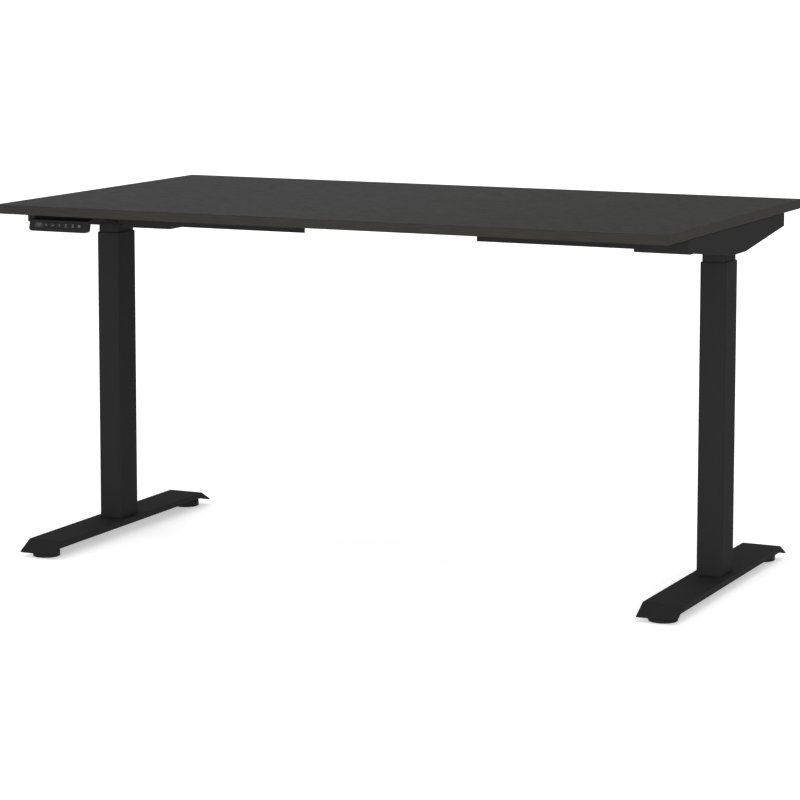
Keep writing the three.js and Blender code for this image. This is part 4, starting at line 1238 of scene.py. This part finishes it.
def cooling_rib():
    """A rib that hangs down from Z 0, its length along Y."""
    rib = rounded_bar(50 * MM, 2.4 * MM, 1.4 * MM)
    for degrees, axis in ((180, "X"), (90, "Z")):
        bmesh.ops.rotate(rib, verts=rib.verts, matrix=Matrix.Rotation(math.radians(degrees), 3, axis))
    return rib


def build_desk():
    """Makes every piece, then takes away the shapes that were only copied."""
    screw = pattern_object("pan_head_screw", pan_head_screw())
    bolt = pattern_object("socket_cap_screw", socket_cap_screw())
    clamp = pattern_object("hexagon_bolt", hexagon_bolt())
    clip = pattern_object("cable_clip", cable_clip())
    rib = pattern_object("cooling_rib", cooling_rib())
    grip = pattern_object("rim_grip", rim_grip())
    board()
    edge_band()
    rails(screw, clamp)
    control_box(screw, rib)
    handset()
    cables(clip)
    for side in SIDES:
        base = f"{side}_base"
        foot = folded_sheet(f"{side}_foot_folded", f"{side}_foot", FOOT_SHEET, FOOT_BEND)
        belongs(foot, "powder_coat", base, f"{side}_foot")
        tube(f"{side}_outer_tube", f"{side}_outer_column", TUBE_CORNER, base)
        tube(f"{side}_inner_tube", f"{side}_inner_column", INNER_TUBE_CORNER, "lifting_frame")
        guide_collar(side)
        foot_bolts(side, bolt)
        lifting_screw(side)
        motor_cover(side, rib)
        for end in ("front", "rear"):
            glide(side, end, grip)
    for pattern in PATTERNS:
        bpy.data.objects.remove(pattern)


# ---- Camera, floor and lights ----
def camera():
    """A long lens from the front right, a little above the board."""
    lens = bpy.data.cameras.new("camera")
    lens.sensor_width = 36
    lens.lens = 131.0
    lens.shift_x = 0.03
    lens.shift_y = -0.15
    lens.clip_end = 500
    made = object_of("camera", lens)
    made.location = (2.4215, -5.2306, 1.2435)
    made.rotation_euler = (math.radians(90) - 0.1175, 0, 0.4429)
    bpy.context.scene.camera = made


def floor():
    """A pale seamless studio floor: matt painted board, lit a little from below as a product table is."""
    reach = 200              # metres to its edges, so that none shows
    bm = bmesh.new()
    bmesh.ops.create_grid(bm, x_segments=1, y_segments=1, size=reach)
    mesh = bpy.data.meshes.new("floor")
    bm.to_mesh(mesh)
    bm.free()
    made, tree, place = blank_material("matt_studio_floor")
    cloud = add_node(tree, "ShaderNodeTexNoise", {"Vector": place, "Scale": per(800 * MM), "Detail": 2})
    tone = add_node(tree, "ShaderNodeMix", {
        "Factor": cloud.outputs["Fac"], 6: colour("#f4f4f4"), 7: colour("#f8f8f8")}, data_type="RGBA")
    shader = add_node(tree, "ShaderNodeBsdfPrincipled", {
        "Base Color": tone.outputs[2], "Roughness": 0.9, "Specular IOR Level": 0.1,
        "Emission Color": colour("#ffffff"), "Emission Strength": 0.4})
    close_material(tree, shader)
    mesh.materials.append(made)
    object_of("studio_floor", mesh)


def softbox(name, place, target, size, power):
    """A rectangular lamp of a width and height, turned to face the target."""
    lamp = bpy.data.lights.new(name, "AREA")
    lamp.shape = "RECTANGLE"
    lamp.size, lamp.size_y = size
    lamp.energy = power
    made = object_of(name, lamp)
    made.location = place
    made.rotation_euler = (Vector(target) - Vector(place)).to_track_quat("-Z", "Y").to_euler()


def studio():
    """An even white surround, a weak broad light from above and a wide softbox low in front."""
    scene = bpy.context.scene
    scene.view_settings.view_transform = "Standard"
    world = bpy.data.worlds.new("studio")
    world.use_nodes = True
    world.node_tree.nodes.clear()
    sky = add_node(world.node_tree, "ShaderNodeBackground", {"Color": colour("#ffffff"), "Strength": 0.95})
    add_node(world.node_tree, "ShaderNodeOutputWorld", {"Surface": sky.outputs[0]})
    scene.world = world
    floor()
    overhead = bpy.data.lights.new("overhead_sky", "SUN")
    overhead.energy = 0.1
    overhead.angle = math.radians(80)
    lamp = object_of("overhead_sky", overhead)
    lamp.rotation_euler = (math.radians(25), math.radians(15), 0)
    softbox("front_softbox", (0.9, -4.2, 0.7), (0.1, 0, 0.4), (2.8, 1.0), 80)


camera()
studio()
finish_cad_nodes()
build_desk()
